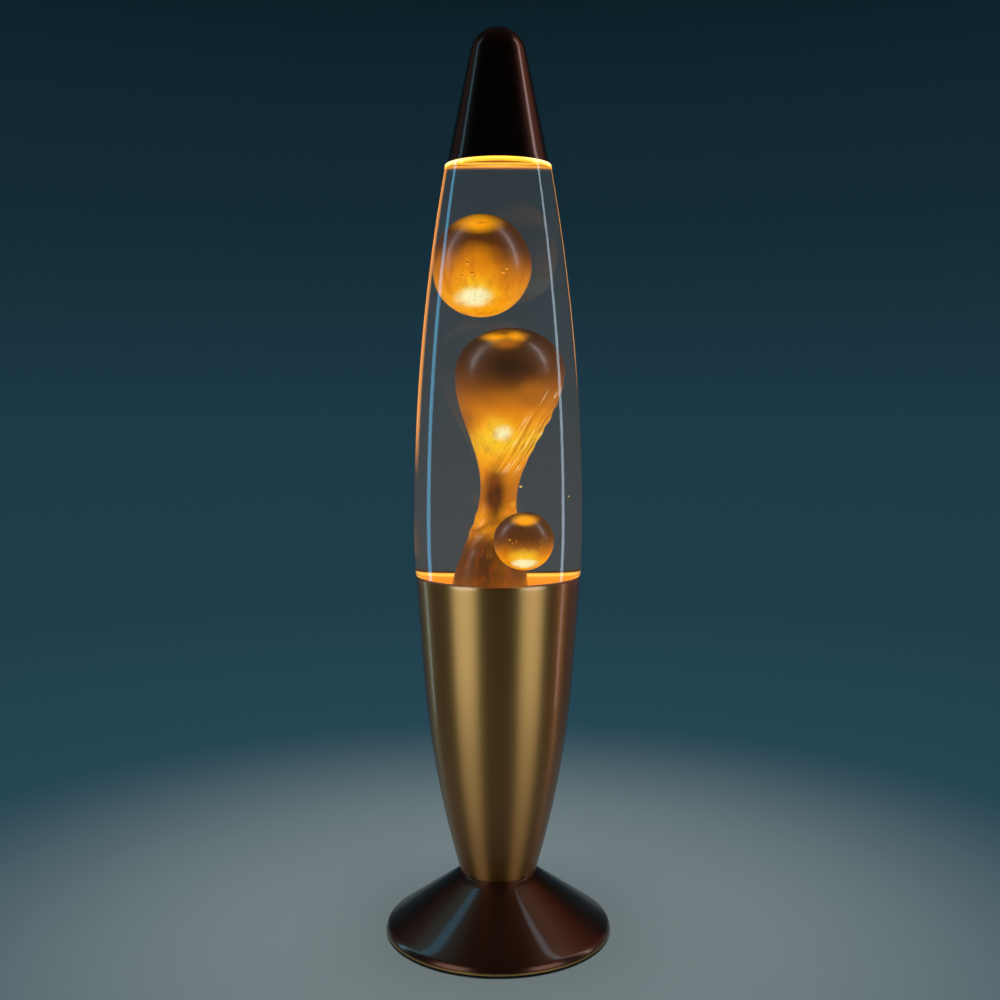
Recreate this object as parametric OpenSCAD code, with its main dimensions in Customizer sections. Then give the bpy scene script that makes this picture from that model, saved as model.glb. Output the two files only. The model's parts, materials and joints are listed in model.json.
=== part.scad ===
// Liquid motion lamp: a spun metal foot and body, a lift out glass bottle and a cone cap.
// Sizes are in millimetres. The lamp stands on z = 0, and the photographed side faces -Y.

/* [Foot] */
// Diameter over the foot's rim
foot_diameter = 103.2; // [92:0.2:116]
// Height from the foot's rim to the joint with the body
foot_height = 27; // [22:0.5:34]
// Sheet of the spun foot
foot_wall = 1.2; // [0.8:0.1:2]
// Rounding of the foot's shoulder
foot_shoulder = 4; // [2.5:0.5:7]
// Straight lip below the shoulder
foot_lip = 0.5; // [0.3:0.1:2]
// Gap that the rubber feet leave under the rim
rim_lift = 1; // [0.6:0.1:2]

/* [Foot cover and feet] */
// Thickness of the disc that closes the foot
cover_thickness = 1.2; // [0.8:0.1:2]
// Height of the rubber feet under that disc
pad_height = 3.8; // [3.4:0.1:6]
// Diameter of a rubber foot
pad_diameter = 10; // [7:0.5:14]
// Diameter of the circle that the rubber feet stand on
pad_circle = 78; // [60:1:80]
// Number of rubber feet
pad_count = 4; // [3:1:6]

/* [Cord bush] */
// Height of the bush's hole in the foot's wall
bush_height = 12.5; // [11:0.5:16]
// Bore of the bush
bush_bore = 5; // [4:0.1:6.4]
// Rubber around the bore
bush_wall = 1.1; // [0.8:0.1:1.6]
// How far the bush's flanges stand out past its neck
bush_flange = 1.6; // [1:0.1:2]
// Thickness of each flange
bush_edge = 1.2; // [0.8:0.1:1.6]

/* [Body] */
// Diameter at the joint between the body and the foot
waist_diameter = 34.4; // [33:0.2:40]
// Height of the body from that joint to its rim
body_height = 137; // [133:1:150]
// Diameter over the body's rim
rim_diameter = 74.2; // [72:0.2:80]
// Height of the straight taper under the rim
taper_height = 44; // [41:1:60]
// Angle of the straight taper
taper_angle = 4.1; // [3:0.1:5]
// Sheet of the spun body
body_wall = 1; // [0.7:0.1:1.5]

/* [Globe] */
// Height of the glass that shows between the rim and the cap
globe_show = 182; // [172:1:200]
// How far the glass swells out past the rim
belly_swell = 0.75; // [0.4:0.05:2]
// Height of the widest ring above the rim
belly_height = 23; // [16:1:40]
// Diameter of the ledge that carries the cap
ledge_diameter = 46.8; // [46:0.2:54]
// Flat width of that ledge
ledge_width = 3.2; // [2.6:0.1:5]
// Wall of the glass
glass_wall = 2.2; // [1.6:0.1:2.8]
// Floor of the glass
glass_floor = 3; // [2:0.1:4]
// Depth of the glass below the rim
nest_depth = 39; // [34:1:41]
// Clearance between the glass and the body around it
nest_gap = 0.5; // [0.3:0.1:1]
// Rounding at the foot of the glass
heel_radius = 7; // [4:0.5:10]
// Height of the sloped shoulder between the ledge and the neck
shoulder_rise = 8; // [6:0.5:11]
// Diameter of the neck
neck_diameter = 26; // [24:0.2:27]
// Wall of the neck
neck_wall = 3.4; // [2.6:0.1:5]
// Height of the neck above the shoulder
neck_height = 9; // [8:0.5:12]
// Thickness of the bead that the closure grips
bead_diameter = 3; // [2.4:0.1:3.6]

/* [Closure] */
// Sheet of the crown closure
crown_sheet = 0.4; // [0.3:0.05:0.6]
// Height of the crown's skirt
crown_height = 6; // [5:0.1:7]
// How far the crown's skirt flares
crown_flare = 1.8; // [1.2:0.1:2.2]
// Chamfer around the crown's top
crown_turn = 1; // [0.8:0.1:1.4]
// Number of flutes in the skirt
crown_flutes = 21; // [15:1:27]
// Thickness of the liner in the crown
liner_thickness = 1; // [0.6:0.1:1.6]
// Clearance between the closure and the glass
closure_gap = 0.2; // [0.1:0.05:0.4]

/* [Cap] */
// Height of the cap above the ledge
cap_height = 59; // [52:0.5:70]
// How far the cap's rim stands in from the ledge's edge
cap_step = 0.75; // [0.4:0.05:1.2]
// Radius of the cap's nose
nose_radius = 12.5; // [11:0.1:14]
// Sheet of the cap
cap_wall = 0.8; // [0.6:0.1:1.2]

/* [Filling] */
// Height of the liquid above the ledge
fill_over_ledge = 2; // [0.5:0.1:4]
// Clearance that keeps the liquid off the glass and the wax
fill_gap = 0.3; // [0.2:0.05:0.5]
// Radius of the rising head
head_radius = 17.6; // [15:0.1:19]
// Rise of the head's dome over its widest ring
head_dome = 19; // [15:0.1:20]
// Height of the head's widest ring above the rim
head_height = 91; // [86:0.5:98]
// Radius of the neck under the head
stalk_radius = 5.9; // [4:0.1:8]
// Height of that neck above the rim
stalk_height = 37; // [33:0.5:42]
// Gap between the wire coil and the column's foot
mound_gap = 3.4; // [2.4:0.1:5]
// How far up the column keeps its width, from 1 for a plain wave
mound_fullness = 1.7; // [1:0.1:2.5]
// Lean of the column to the right
column_lean = 4; // [2:0.1:5]
// Distance of the column's foot to the left of the axis
column_shift = 5; // [3:0.1:5.5]
// Radius of the upper blob
upper_radius = 16.2; // [13:0.1:17]
// Half the height of the upper blob
upper_half = 22.4; // [18:0.1:23]
// Gap between the rising head and the upper blob
upper_gap = 4.5; // [3.5:0.1:9]
// Distance of the upper blob to the left of the axis
upper_shift = 5.5; // [3:0.1:6.5]
// Radius of the lower blob
lower_radius = 12; // [10:0.1:12.4]
// Half the height of the lower blob
lower_half = 12.6; // [10:0.1:14]
// Height of the lower blob's centre above the rim
lower_height = 18.5; // [17:0.5:24]
// Gap between the lower blob and the glass
lower_gap = 1; // [0.8:0.1:2]
// Angle of the lower blob to the right of the front
lower_turn = 26.6; // [15:0.1:40]

/* [Wire coil] */
// Wire of the coil on the globe's floor
wire_diameter = 1; // [0.8:0.1:1.4]
// Radius of one curl at the wire's centre
curl_radius = 2.8; // [2:0.1:3]
// Gap between the curls and the globe's side
coil_gap = 2.65; // [2.2:0.05:3.2]
// Number of curls
curl_count = 24; // [16:1:24]

/* [Pipe and nuts] */
// Diameter of the threaded pipe
pipe_diameter = 10; // [8:0.5:12]
// Bore of the pipe
pipe_bore = 7.4; // [5:0.1:7.6]
// Clearance around the pipe in the sheets
pipe_gap = 0.3; // [0.2:0.1:0.6]
// Width of the nuts across their flats
nut_width = 14; // [13:0.5:17]
// Height of a nut
nut_height = 2.5; // [2:0.1:3]
// Diameter of the lock washer
washer_diameter = 18; // [16:0.5:22]
// Thickness of the lock washer
washer_thickness = 0.8; // [0.6:0.1:1.2]
// Length of pipe that stands out of the lower nut
pipe_end = 0.4; // [0.2:0.1:0.6]

/* [Lamp holder] */
// Diameter of the holder's housing
holder_diameter = 27; // [25:0.5:29]
// Height of the housing
holder_height = 39; // [38:0.5:44]
// Floor of the housing
holder_floor = 3; // [2:0.1:4]
// Wall of the housing
holder_wall = 2; // [1.5:0.1:3]
// Sheet of the threaded sleeve
sleeve_wall = 0.5; // [0.4:0.05:0.8]
// Clearance between the sleeve and the bulb's screw cap
thread_gap = 0.3; // [0.2:0.05:0.5]
// Height of the contact block
block_height = 6; // [5:0.1:6.5]
// Clearance around the contact block
block_gap = 0.5; // [0.3:0.1:2]
// Rise of the centre contact above the block
contact_rise = 3; // [2.4:0.1:4]
// Strip of the centre contact
contact_strip = 0.6; // [0.4:0.1:1]
// Width of the centre contact
contact_width = 5; // [4:0.5:7]
// Diameter of a terminal screw's head
screw_head = 4; // [3:0.2:5]
// Clearance between the bulb's collar and the housing's mouth
mouth_gap = 1.2; // [0.6:0.1:1.6]
// Clearance between pieces that are pushed together
push_gap = 0.1; // [0.05:0.05:0.2]

/* [Bulb] */
// Length of the bulb from its tip to its crown
bulb_length = 66; // [62:0.5:67]
// Diameter of the bulb
bulb_diameter = 39; // [34:0.5:42]
// Diameter of the bulb's screw cap
screw_diameter = 13.7; // [13:0.1:14]
// Height of the screw cap
screw_height = 21; // [18:0.5:22]
// Diameter of the collar at the top of the screw cap
collar_diameter = 17; // [15.6:0.2:19]
// Diameter of the tip contact
tip_diameter = 5; // [4:0.2:7]
// Height of the tip contact
tip_height = 1.2; // [0.8:0.1:1.6]
// Height of the insulator between the tip and the screw cap
insulator_height = 2.6; // [2:0.1:3.4]
// Chamfer at the start of the screw cap
screw_lead = 0.6; // [0.4:0.1:1]
// Rim of the collar that shows around the bulb's stem
collar_lip = 0.6; // [0.4:0.1:1]
// Height of the upright band under the bulb's dome
band_height = 4; // [2:0.5:8]
// Radius of the dome on the bulb
dome_radius = 32; // [26:1:50]

/* [Hidden] */
$fn = 96;
arc_steps = 1440;
past = 1;
foot_radius = foot_diameter / 2;
waist_radius = waist_diameter / 2;
rim_radius = rim_diameter / 2;
ledge_radius = ledge_diameter / 2;
cap_radius = ledge_radius - cap_step;

// Heights from the table upward
foot_low = rim_lift;
shoulder_z = foot_low + foot_lip;
waist_z = foot_low + foot_height;
rim_z = waist_z + body_height;
ledge_z = rim_z + globe_show;
top_z = ledge_z + cap_height;
cover_low = pad_height;
cover_top = cover_low + cover_thickness;
floor_top = waist_z + body_wall;
nut_z = floor_top + washer_thickness;
holder_z = nut_z + nut_height;
block_z = holder_z + holder_floor;
leaf_z = block_z + block_height;
tip_z = leaf_z + contact_rise;
pipe_low = cover_low - nut_height - pipe_end;
block_diameter = holder_diameter - 2 * holder_wall - 2 * block_gap;

// Straight side that leaves point [r, z] and touches a circle of radius a at [cr, cz]
function side_angle(r, z, cr, cz, a) = atan2(z - cz, cr - r) - asin(a / norm([cr - r, z - cz]));

// Foot: the slope runs from the joint to the shoulder's circle
shoulder_r = foot_radius - foot_shoulder;
foot_angle = side_angle(waist_radius, waist_z, shoulder_r, shoulder_z, foot_shoulder);
function foot_inner(z) = waist_radius - foot_wall * tan(foot_angle / 2)
    + (waist_z - foot_wall - z) / tan(foot_angle);
function foot_outer(z) = waist_radius + (waist_z - z) / tan(foot_angle);

// Body: a straight taper that runs on into one long arc
taper_z = rim_z - taper_height;
taper_radius = rim_radius - taper_height * tan(taper_angle);
to_waist = [waist_radius - taper_radius, waist_z - taper_z];
out = [cos(taper_angle), -sin(taper_angle)];
sweep_radius = -(to_waist * to_waist) / (2 * (to_waist * out));
sweep_at = [taper_radius, taper_z] - sweep_radius * out;

// Globe: one long arc above the widest ring and a short one below it
belly_z = rim_z + belly_height;
belly_radius = rim_radius + belly_swell;
function arc_through(rise, drop) = (rise * rise + drop * drop) / (2 * drop);
side_radius = arc_through(ledge_z - belly_z, belly_radius - ledge_radius);
foot_arc = arc_through(belly_height, belly_swell);
bottle_z = rim_z - nest_depth;
bottle_floor = bottle_z + glass_floor;
nest_in = body_wall + nest_gap;
shoulder_radius = ledge_radius - ledge_width;
neck_radius = neck_diameter / 2;
neck_z = ledge_z + shoulder_rise;
lip_z = neck_z + neck_height;
bore_radius = neck_radius - neck_wall;
bead_z = lip_z - bead_diameter / 2;
function heel_edge(inset, low, heel) = taper_radius - (nest_in + inset) / cos(taper_angle)
    + (low + heel - taper_z) * tan(taper_angle);

// Closure
crown_low = lip_z + liner_thickness + crown_sheet - crown_height;
crown_inner = neck_radius + bead_diameter / 2 + closure_gap;

// Cap: the slope runs from the rim to the nose
nose_z = top_z - nose_radius;

// Filling
fill_z = ledge_z + fill_over_ledge;
head_rise = rim_z + head_height - bottle_floor;
stalk_rise = rim_z + stalk_height - bottle_floor;
curl_reach = curl_radius + wire_diameter / 2;
coil_z = bottle_floor + curl_reach + push_gap;
coil_radius = heel_edge(glass_wall, bottle_floor, heel_radius - glass_wall) - coil_gap - curl_reach;
mound_radius = coil_radius - curl_reach - mound_gap - column_shift;
upper_z = bottle_floor + (head_rise + head_dome) * cos(column_lean) + upper_gap + upper_half;
lower_z = rim_z + lower_height;
lower_wall = belly_radius - foot_arc + sqrt(pow(foot_arc - glass_wall, 2) - pow(lower_z - belly_z, 2));
lower_reach = lower_wall - lower_gap - lower_radius;
curl_steps = 8;
curl_sides = 6;

// Bulb
screw_radius = screw_diameter / 2;
sleeve_radius = screw_radius + thread_gap + sleeve_wall;
sleeve_z = tip_z + tip_height + insulator_height;
collar_flare = collar_diameter / 2 - screw_radius;
sleeve_length = screw_height - 2 * collar_flare - thread_gap;
mouth_radius = collar_diameter / 2 + mouth_gap;
collar_z = sleeve_z + screw_height;
bulb_top = tip_z + bulb_length;
dome_rise = dome_radius - sqrt(dome_radius * dome_radius - bulb_diameter * bulb_diameter / 4);

// Area left of a cone's straight side and the circle that it touches, moved in by inset
module cone_area(r, z, cr, cz, a, low, inset) {
    angle = side_angle(r, z, cr, cz, a);
    n = [sin(angle), cos(angle)];
    meet = [cr, cz] + (a - inset) * n;
    top = z - inset;
    polygon([[0, low], [cr + a - inset, low], [cr + a - inset, cz], meet,
        [r - inset * tan(angle / 2), top], [0, top]]);
    intersection() {
        translate([cr, cz]) circle(a - inset);
        translate([0, low]) square([cr + a, z - low]);
    }
}

// Area inside the body's side, moved in by inset
module body_area(inset, low, high) {
    join = [taper_radius, taper_z] - inset * out;
    slope = tan(taper_angle);
    base = max(join[1], low);
    if (low < join[1]) intersection() {
        translate(sweep_at) circle(sweep_radius - inset, $fn = arc_steps);
        translate([0, low]) square([rim_diameter, join[1] - low]);
    }
    polygon([[0, base], [join[0] + (base - join[1]) * slope, base],
        [join[0] + (high - join[1]) * slope, high], [0, high]]);
}

// Area inside the globe's side above the rim, moved in by inset
module globe_area(inset, low, high) {
    intersection() {
        translate([belly_radius - side_radius, belly_z]) circle(side_radius - inset, $fn = arc_steps);
        translate([0, belly_z]) square([2 * belly_radius, high - belly_z]);
    }
    intersection() {
        translate([belly_radius - foot_arc, belly_z]) circle(foot_arc - inset, $fn = arc_steps);
        translate([0, low]) square([2 * belly_radius, belly_z - low]);
    }
}

// Area of the globe below the rim, with a round heel
module nest_area(inset, low, high, heel) {
    edge = heel_edge(inset, low, heel);
    difference() {
        body_area(nest_in + inset, low, high);
        translate([edge - heel, low - past]) square([2 * heel, heel + past]);
    }
    intersection() {
        translate([edge - heel, low + heel]) circle(heel);
        translate([0, low]) square([edge, heel]);
    }
}

// Hollow of the globe, kept gap off the glass
module hollow_area(gap) {
    step_z = rim_z + glass_wall + gap;
    nest_area(glass_wall + gap, bottle_floor + gap, step_z, heel_radius - glass_wall);
    globe_area(glass_wall + gap, step_z, ledge_z - glass_wall - gap);
    inset = glass_wall + gap;
    polygon([[0, ledge_z - inset], [shoulder_radius - inset, ledge_z - inset],
        [bore_radius - gap, neck_z - inset], [bore_radius - gap, lip_z + past], [0, lip_z + past]]);
}

module hexagon(width, height, bore) {
    difference() {
        cylinder(d = width / cos(30), h = height, $fn = 6);
        translate([0, 0, -past]) cylinder(d = bore, h = height + 2 * past);
    }
}

module foot_area(low, inset) {
    cone_area(waist_radius, waist_z, shoulder_r, shoulder_z, foot_shoulder, low, inset);
}

module foot() {
    color("#4a2f1b") difference() {
        rotate_extrude() foot_area(foot_low, 0);
        rotate_extrude() foot_area(foot_low - past, foot_wall);
        translate([0, 0, foot_low])
            cylinder(d = pipe_diameter + 2 * pipe_gap, h = foot_height + past);
        bush_place() translate([0, 0, -3 * foot_wall])
            cylinder(d = bush_bore + 2 * bush_wall + 2 * push_gap, h = 6 * foot_wall);
    }
}

module foot_cover() {
    color("#2b2b2b") translate([0, 0, cover_low]) difference() {
        cylinder(r = foot_inner(cover_top) - push_gap, h = cover_thickness);
        translate([0, 0, -past])
            cylinder(d = pipe_diameter + 2 * pipe_gap, h = cover_thickness + 2 * past);
    }
}

module rubber_feet() {
    color("#1b1b1b") for (i = [0 : pad_count - 1])
        rotate([0, 0, 45 + i * 360 / pad_count]) translate([pad_circle / 2, 0, 0])
            cylinder(d1 = pad_diameter - 1, d2 = pad_diameter, h = pad_height);
}

// Puts the origin on the foot's rear slope, with z square to the wall
module bush_place() {
    translate([0, foot_outer(bush_height), bush_height]) rotate([-foot_angle, 0, 0]) children();
}

module cord_bush() {
    neck = bush_bore / 2 + bush_wall;
    flange = neck + bush_flange;
    sag = flange * flange / (2 * foot_outer(bush_height) / sin(foot_angle)) + push_gap;
    low = -foot_wall - sag;
    color("#161616") bush_place() difference() {
        union() {
            translate([0, 0, push_gap])
                cylinder(r1 = flange, r2 = flange - bush_edge / 2, h = bush_edge);
            translate([0, 0, low - bush_edge]) cylinder(r = neck, h = push_gap - low + bush_edge);
            translate([0, 0, low - bush_edge]) cylinder(r = flange, h = bush_edge);
        }
        translate([0, 0, low - bush_edge - past])
            cylinder(d = bush_bore, h = push_gap - low + 2 * bush_edge + 2 * past);
    }
}

module base_body() {
    color("#a8741a") rotate_extrude() difference() {
        body_area(0, waist_z, rim_z);
        body_area(body_wall, floor_top, rim_z + past);
        translate([0, waist_z - past]) square([pipe_diameter / 2 + pipe_gap, 2 * past + body_wall]);
    }
}

module lamp_pipe() {
    color("#b9b9b4") translate([0, 0, pipe_low]) difference() {
        cylinder(d = pipe_diameter, h = block_z - pipe_low);
        translate([0, 0, -past]) cylinder(d = pipe_bore, h = block_z - pipe_low + 2 * past);
    }
}

module pipe_nut_lower() {
    color("#c9a24a") translate([0, 0, cover_low - nut_height])
        hexagon(nut_width, nut_height, pipe_diameter + 2 * push_gap);
}

module pipe_lock_washer() {
    color("#b9b9b4") translate([0, 0, floor_top]) difference() {
        cylinder(d = washer_diameter, h = washer_thickness);
        translate([0, 0, -past])
            cylinder(d = pipe_diameter + 2 * push_gap, h = washer_thickness + 2 * past);
    }
}

module pipe_nut_upper() {
    color("#c9a24a") translate([0, 0, nut_z])
        hexagon(nut_width, nut_height, pipe_diameter + 2 * push_gap);
}

module holder_housing() {
    bore = sleeve_radius + push_gap;
    room = holder_diameter / 2 - holder_wall;
    color("#efe8d8") rotate_extrude() difference() {
        translate([pipe_diameter / 2 + push_gap, holder_z])
            square([holder_diameter / 2 - pipe_diameter / 2 - push_gap, holder_height]);
        translate([0, block_z]) square([room, sleeve_z - block_z]);
        translate([0, sleeve_z - past]) square([bore, holder_height]);
        translate([0, sleeve_z + sleeve_length]) square([mouth_radius, holder_height]);
    }
}

module holder_sleeve() {
    color("#cfa84e") translate([0, 0, sleeve_z]) difference() {
        cylinder(r = sleeve_radius, h = sleeve_length);
        translate([0, 0, -past])
            cylinder(r = sleeve_radius - sleeve_wall, h = sleeve_length + 2 * past);
    }
}

module contact_block() {
    color("#f1eee6") translate([0, 0, block_z]) difference() {
        cylinder(d = block_diameter, h = block_height);
        translate([0, 0, -past]) cylinder(d = pipe_bore, h = block_height / 2 + past);
        for (side = [-1, 1])
            translate([side * (block_diameter / 2 - screw_head * 0.75), 0, block_height / 2])
                cylinder(d = screw_head / 2 + 2 * push_gap, h = block_height);
    }
}

module centre_contact() {
    color("#d9b45c") translate([0, 0, leaf_z]) rotate([90, 0, 0]) translate([0, 0, -contact_width / 2])
        linear_extrude(contact_width) difference() {
            translate([-contact_width, 0]) square([2 * contact_width, contact_rise]);
            translate([-contact_width + contact_strip, contact_strip])
                square([2 * contact_width, contact_rise - 2 * contact_strip]);
            translate([contact_width * 0.6, contact_strip]) square([contact_width, contact_rise]);
        }
}

module terminal_screws() {
    color("#c8c8c4") for (side = [-1, 1])
        translate([side * (block_diameter / 2 - screw_head * 0.75), 0, 0]) difference() {
            union() {
                translate([0, 0, leaf_z]) cylinder(d = screw_head, h = screw_head / 2);
                translate([0, 0, block_z + block_height / 2 + push_gap])
                    cylinder(d = screw_head / 2, h = block_height / 2);
            }
            translate([-screw_head, -screw_head / 10, leaf_z + screw_head * 0.3])
                cube([2 * screw_head, screw_head / 5, screw_head]);
        }
}

module bulb_tip_contact() {
    color("#b8b8b0") translate([0, 0, tip_z])
        cylinder(d1 = tip_diameter * 0.7, d2 = tip_diameter, h = tip_height);
}

module bulb_insulator() {
    color("#141414") translate([0, 0, tip_z + tip_height])
        cylinder(r1 = tip_diameter / 2, r2 = screw_radius - screw_lead, h = insulator_height);
}

module bulb_screw_cap() {
    collar = collar_diameter / 2;
    color("#c9c6bd") translate([0, 0, sleeve_z]) rotate_extrude()
        polygon([[0, 0], [screw_radius - screw_lead, 0], [screw_radius, screw_lead],
            [screw_radius, screw_height - 2 * collar_flare], [collar, screw_height - collar_flare],
            [collar, screw_height], [0, screw_height]]);
}

// Reflector envelope: a stem, a bowl that opens upward and a shallow dome
module bulb_envelope() {
    stem = collar_diameter / 2 - collar_lip;
    wide = bulb_diameter / 2;
    dome_z = bulb_top - dome_rise;
    bowl_z = dome_z - band_height;
    color("#f3ead2") rotate_extrude() {
        polygon([[0, collar_z], [stem, collar_z], [stem, bowl_z - (wide - stem)], [wide, bowl_z],
            [wide, dome_z], [0, dome_z]]);
        intersection() {
            translate([0, bulb_top - dome_radius]) circle(dome_radius);
            translate([0, dome_z]) square([bulb_diameter, dome_rise + past]);
        }
    }
}

module globe_glass() {
    color("#cfe3ea", 0.35) rotate_extrude() difference() {
        union() {
            nest_area(0, bottle_z, rim_z, heel_radius);
            globe_area(0, rim_z, ledge_z);
            polygon([[0, ledge_z], [shoulder_radius, ledge_z], [neck_radius, neck_z],
                [neck_radius, lip_z], [0, lip_z]]);
            translate([neck_radius, bead_z]) circle(d = bead_diameter);
        }
        hollow_area(0);
    }
}

module crown_closure() {
    foot_r = crown_inner + crown_sheet + crown_flare;
    top = crown_low + crown_height;
    turn_z = top - crown_turn;
    color("#c2b280") difference() {
        rotate_extrude() difference() {
            polygon([[0, crown_low], [foot_r, crown_low], [crown_inner + crown_sheet, turn_z],
                [crown_inner + crown_sheet - crown_turn, top], [0, top]]);
            polygon([[0, crown_low - past], [foot_r - crown_sheet, crown_low - past],
                [foot_r - crown_sheet, crown_low], [crown_inner, turn_z],
                [crown_inner - crown_turn + crown_sheet, top - crown_sheet], [0, top - crown_sheet]]);
        }
        for (i = [0 : crown_flutes - 1]) rotate([0, 0, i * 360 / crown_flutes])
            translate([foot_r + crown_sheet, 0, crown_low - past])
                cylinder(r = PI * foot_r / crown_flutes / 2, h = past + crown_height * 0.45);
    }
}

module closure_liner() {
    color("#7d7f86") translate([0, 0, lip_z])
        cylinder(r = crown_inner - crown_turn - closure_gap, h = liner_thickness);
}

// Radius of the rising column at a height over the globe's floor
function wave(share) = (1 - cos(180 * share)) / 2;
function column_radius(h) = h <= stalk_rise
    ? mound_radius + (stalk_radius - mound_radius) * wave(pow(h / stalk_rise, mound_fullness))
    : h <= head_rise
    ? stalk_radius + (head_radius - stalk_radius) * wave((h - stalk_rise) / (head_rise - stalk_rise))
    : head_radius * sqrt(max(0, 1 - pow((h - head_rise) / head_dome, 2)));

// Rising column: a drop shaped head on a stalk that widens to the floor, leaning to one side
module column_form(grow) {
    dome = [for (i = [0 : 9]) head_rise + head_dome * sin(10 * i)];
    rises = concat([for (i = [0 : 9]) stalk_rise * i / 10],
        [for (i = [0 : 11]) stalk_rise + (head_rise - stalk_rise) * i / 12], dome);
    top = head_rise + head_dome;
    intersection() {
        translate([-column_shift, 0, bottle_floor]) rotate([0, column_lean, 0]) rotate_extrude()
            polygon(concat([[0, -mound_radius], [mound_radius + grow, -mound_radius]],
                [for (h = rises) if (h < top) [column_radius(h) + grow, h]], [[0, top + grow]]));
        translate([-rim_diameter, -rim_diameter, bottle_floor - grow])
            cube([2 * rim_diameter, 2 * rim_diameter, globe_show]);
    }
}

// Free blob of wax: an egg shape around its own centre
module blob_form(radius, half, grow) {
    rotate_extrude() polygon([for (i = [0 : 18])
        [(radius + grow) * sin(10 * i), -(half + grow) * cos(10 * i)]]);
}

module wax_column() {
    color("#e0700c") column_form(0);
}

module upper_form(grow) {
    translate([-upper_shift, 0, upper_z]) blob_form(upper_radius, upper_half, grow);
}

module wax_upper_blob() {
    color("#f0960f") upper_form(0);
}

module lower_form(grow) {
    translate([lower_reach * sin(lower_turn), -lower_reach * cos(lower_turn), lower_z])
        blob_form(lower_radius, lower_half, grow);
}

module wax_lower_blob() {
    color("#f0960f") lower_form(0);
}

module liquid_fill() {
    color("#f4ead0", 0.25) difference() {
        rotate_extrude() intersection() {
            hollow_area(fill_gap);
            translate([0, bottle_z]) square([rim_diameter, fill_z - bottle_z]);
        }
        column_form(fill_gap);
        upper_form(fill_gap);
        lower_form(fill_gap);
        translate([0, 0, coil_z]) rotate_extrude() translate([coil_radius, 0])
            circle(curl_reach + fill_gap);
    }
}

// Wire coil: one unbroken wire whose curls follow a ring that closes on itself
function curl_point(t) = let (a = 360 * t, c = 360 * t * curl_count)
    [(coil_radius + curl_radius * cos(c)) * cos(a), (coil_radius + curl_radius * cos(c)) * sin(a),
        coil_z + curl_radius * sin(c)];
curl_total = curl_count * curl_steps;
curl_route = [for (i = [0 : curl_total - 1]) curl_point(i / curl_total)];
function unit(v) = v / norm(v);
function curl_ring(i) = let (t = i / curl_total, a = 360 * t,
    along = unit(curl_route[(i + 1) % curl_total] - curl_route[(i + curl_total - 1) % curl_total]),
    middle = [coil_radius * cos(a), coil_radius * sin(a), coil_z],
    side = unit(cross(along, curl_route[i] - middle)), up = cross(side, along))
    [for (k = [0 : curl_sides - 1]) curl_route[i]
        + wire_diameter / 2 * (cos(360 * k / curl_sides) * side + sin(360 * k / curl_sides) * up)];
half_curl = curl_steps / 2;
curl_gap = min([for (i = [0 : curl_total - 1], j = [i + half_curl : i + curl_total - half_curl])
    norm(curl_route[i] - curl_route[j % curl_total])]) - wire_diameter;
echo(wire_coil_least_gap = curl_gap);

module wire_coil() {
    points = [for (i = [0 : curl_total - 1]) each curl_ring(i)];
    faces = [for (i = [0 : curl_total - 1], k = [0 : curl_sides - 1])
        let (a = i * curl_sides + k, b = i * curl_sides + (k + 1) % curl_sides,
            n = ((i + 1) % curl_total) * curl_sides, c = n + k, d = n + (k + 1) % curl_sides)
        each [[a, c, b], [b, c, d]]];
    color("#b7b7b7") polyhedron(points, faces);
}

module top_cap() {
    color("#2a1710") difference() {
        rotate_extrude() cap_area(0);
        rotate_extrude() cap_area(cap_wall);
    }
}

// Area inside the cap's slope and nose, moved in by inset
module cap_area(inset) {
    n = [cos(cap_tilt()), sin(cap_tilt())];
    meet = [0, nose_z] + (nose_radius - inset) * n;
    foot_r = cap_radius - inset / cos(cap_tilt());
    low = inset > 0 ? ledge_z - past : ledge_z;
    polygon([[0, low], [foot_r + (ledge_z - low) * tan(cap_tilt()), low], meet, [0, nose_z]]);
    intersection() {
        translate([0, nose_z]) circle(nose_radius - inset);
        translate([0, ledge_z]) square([2 * cap_radius, cap_height]);
    }
}
// Lean of the cap's slope from the upright
function cap_tilt() = let (h = nose_z - ledge_z, d = norm([cap_radius, h]))
    atan2(cap_radius, h) - asin(nose_radius / d);

top_cap();
globe_glass();
crown_closure();
closure_liner();
liquid_fill();
wax_column();
wax_upper_blob();
wax_lower_blob();
wire_coil();
base_body();
foot();
foot_cover();
rubber_feet();
cord_bush();
lamp_pipe();
pipe_nut_lower();
pipe_lock_washer();
pipe_nut_upper();
holder_housing();
holder_sleeve();
contact_block();
centre_contact();
terminal_screws();
bulb_envelope();
bulb_screw_cap();
bulb_insulator();
bulb_tip_contact();
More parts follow.
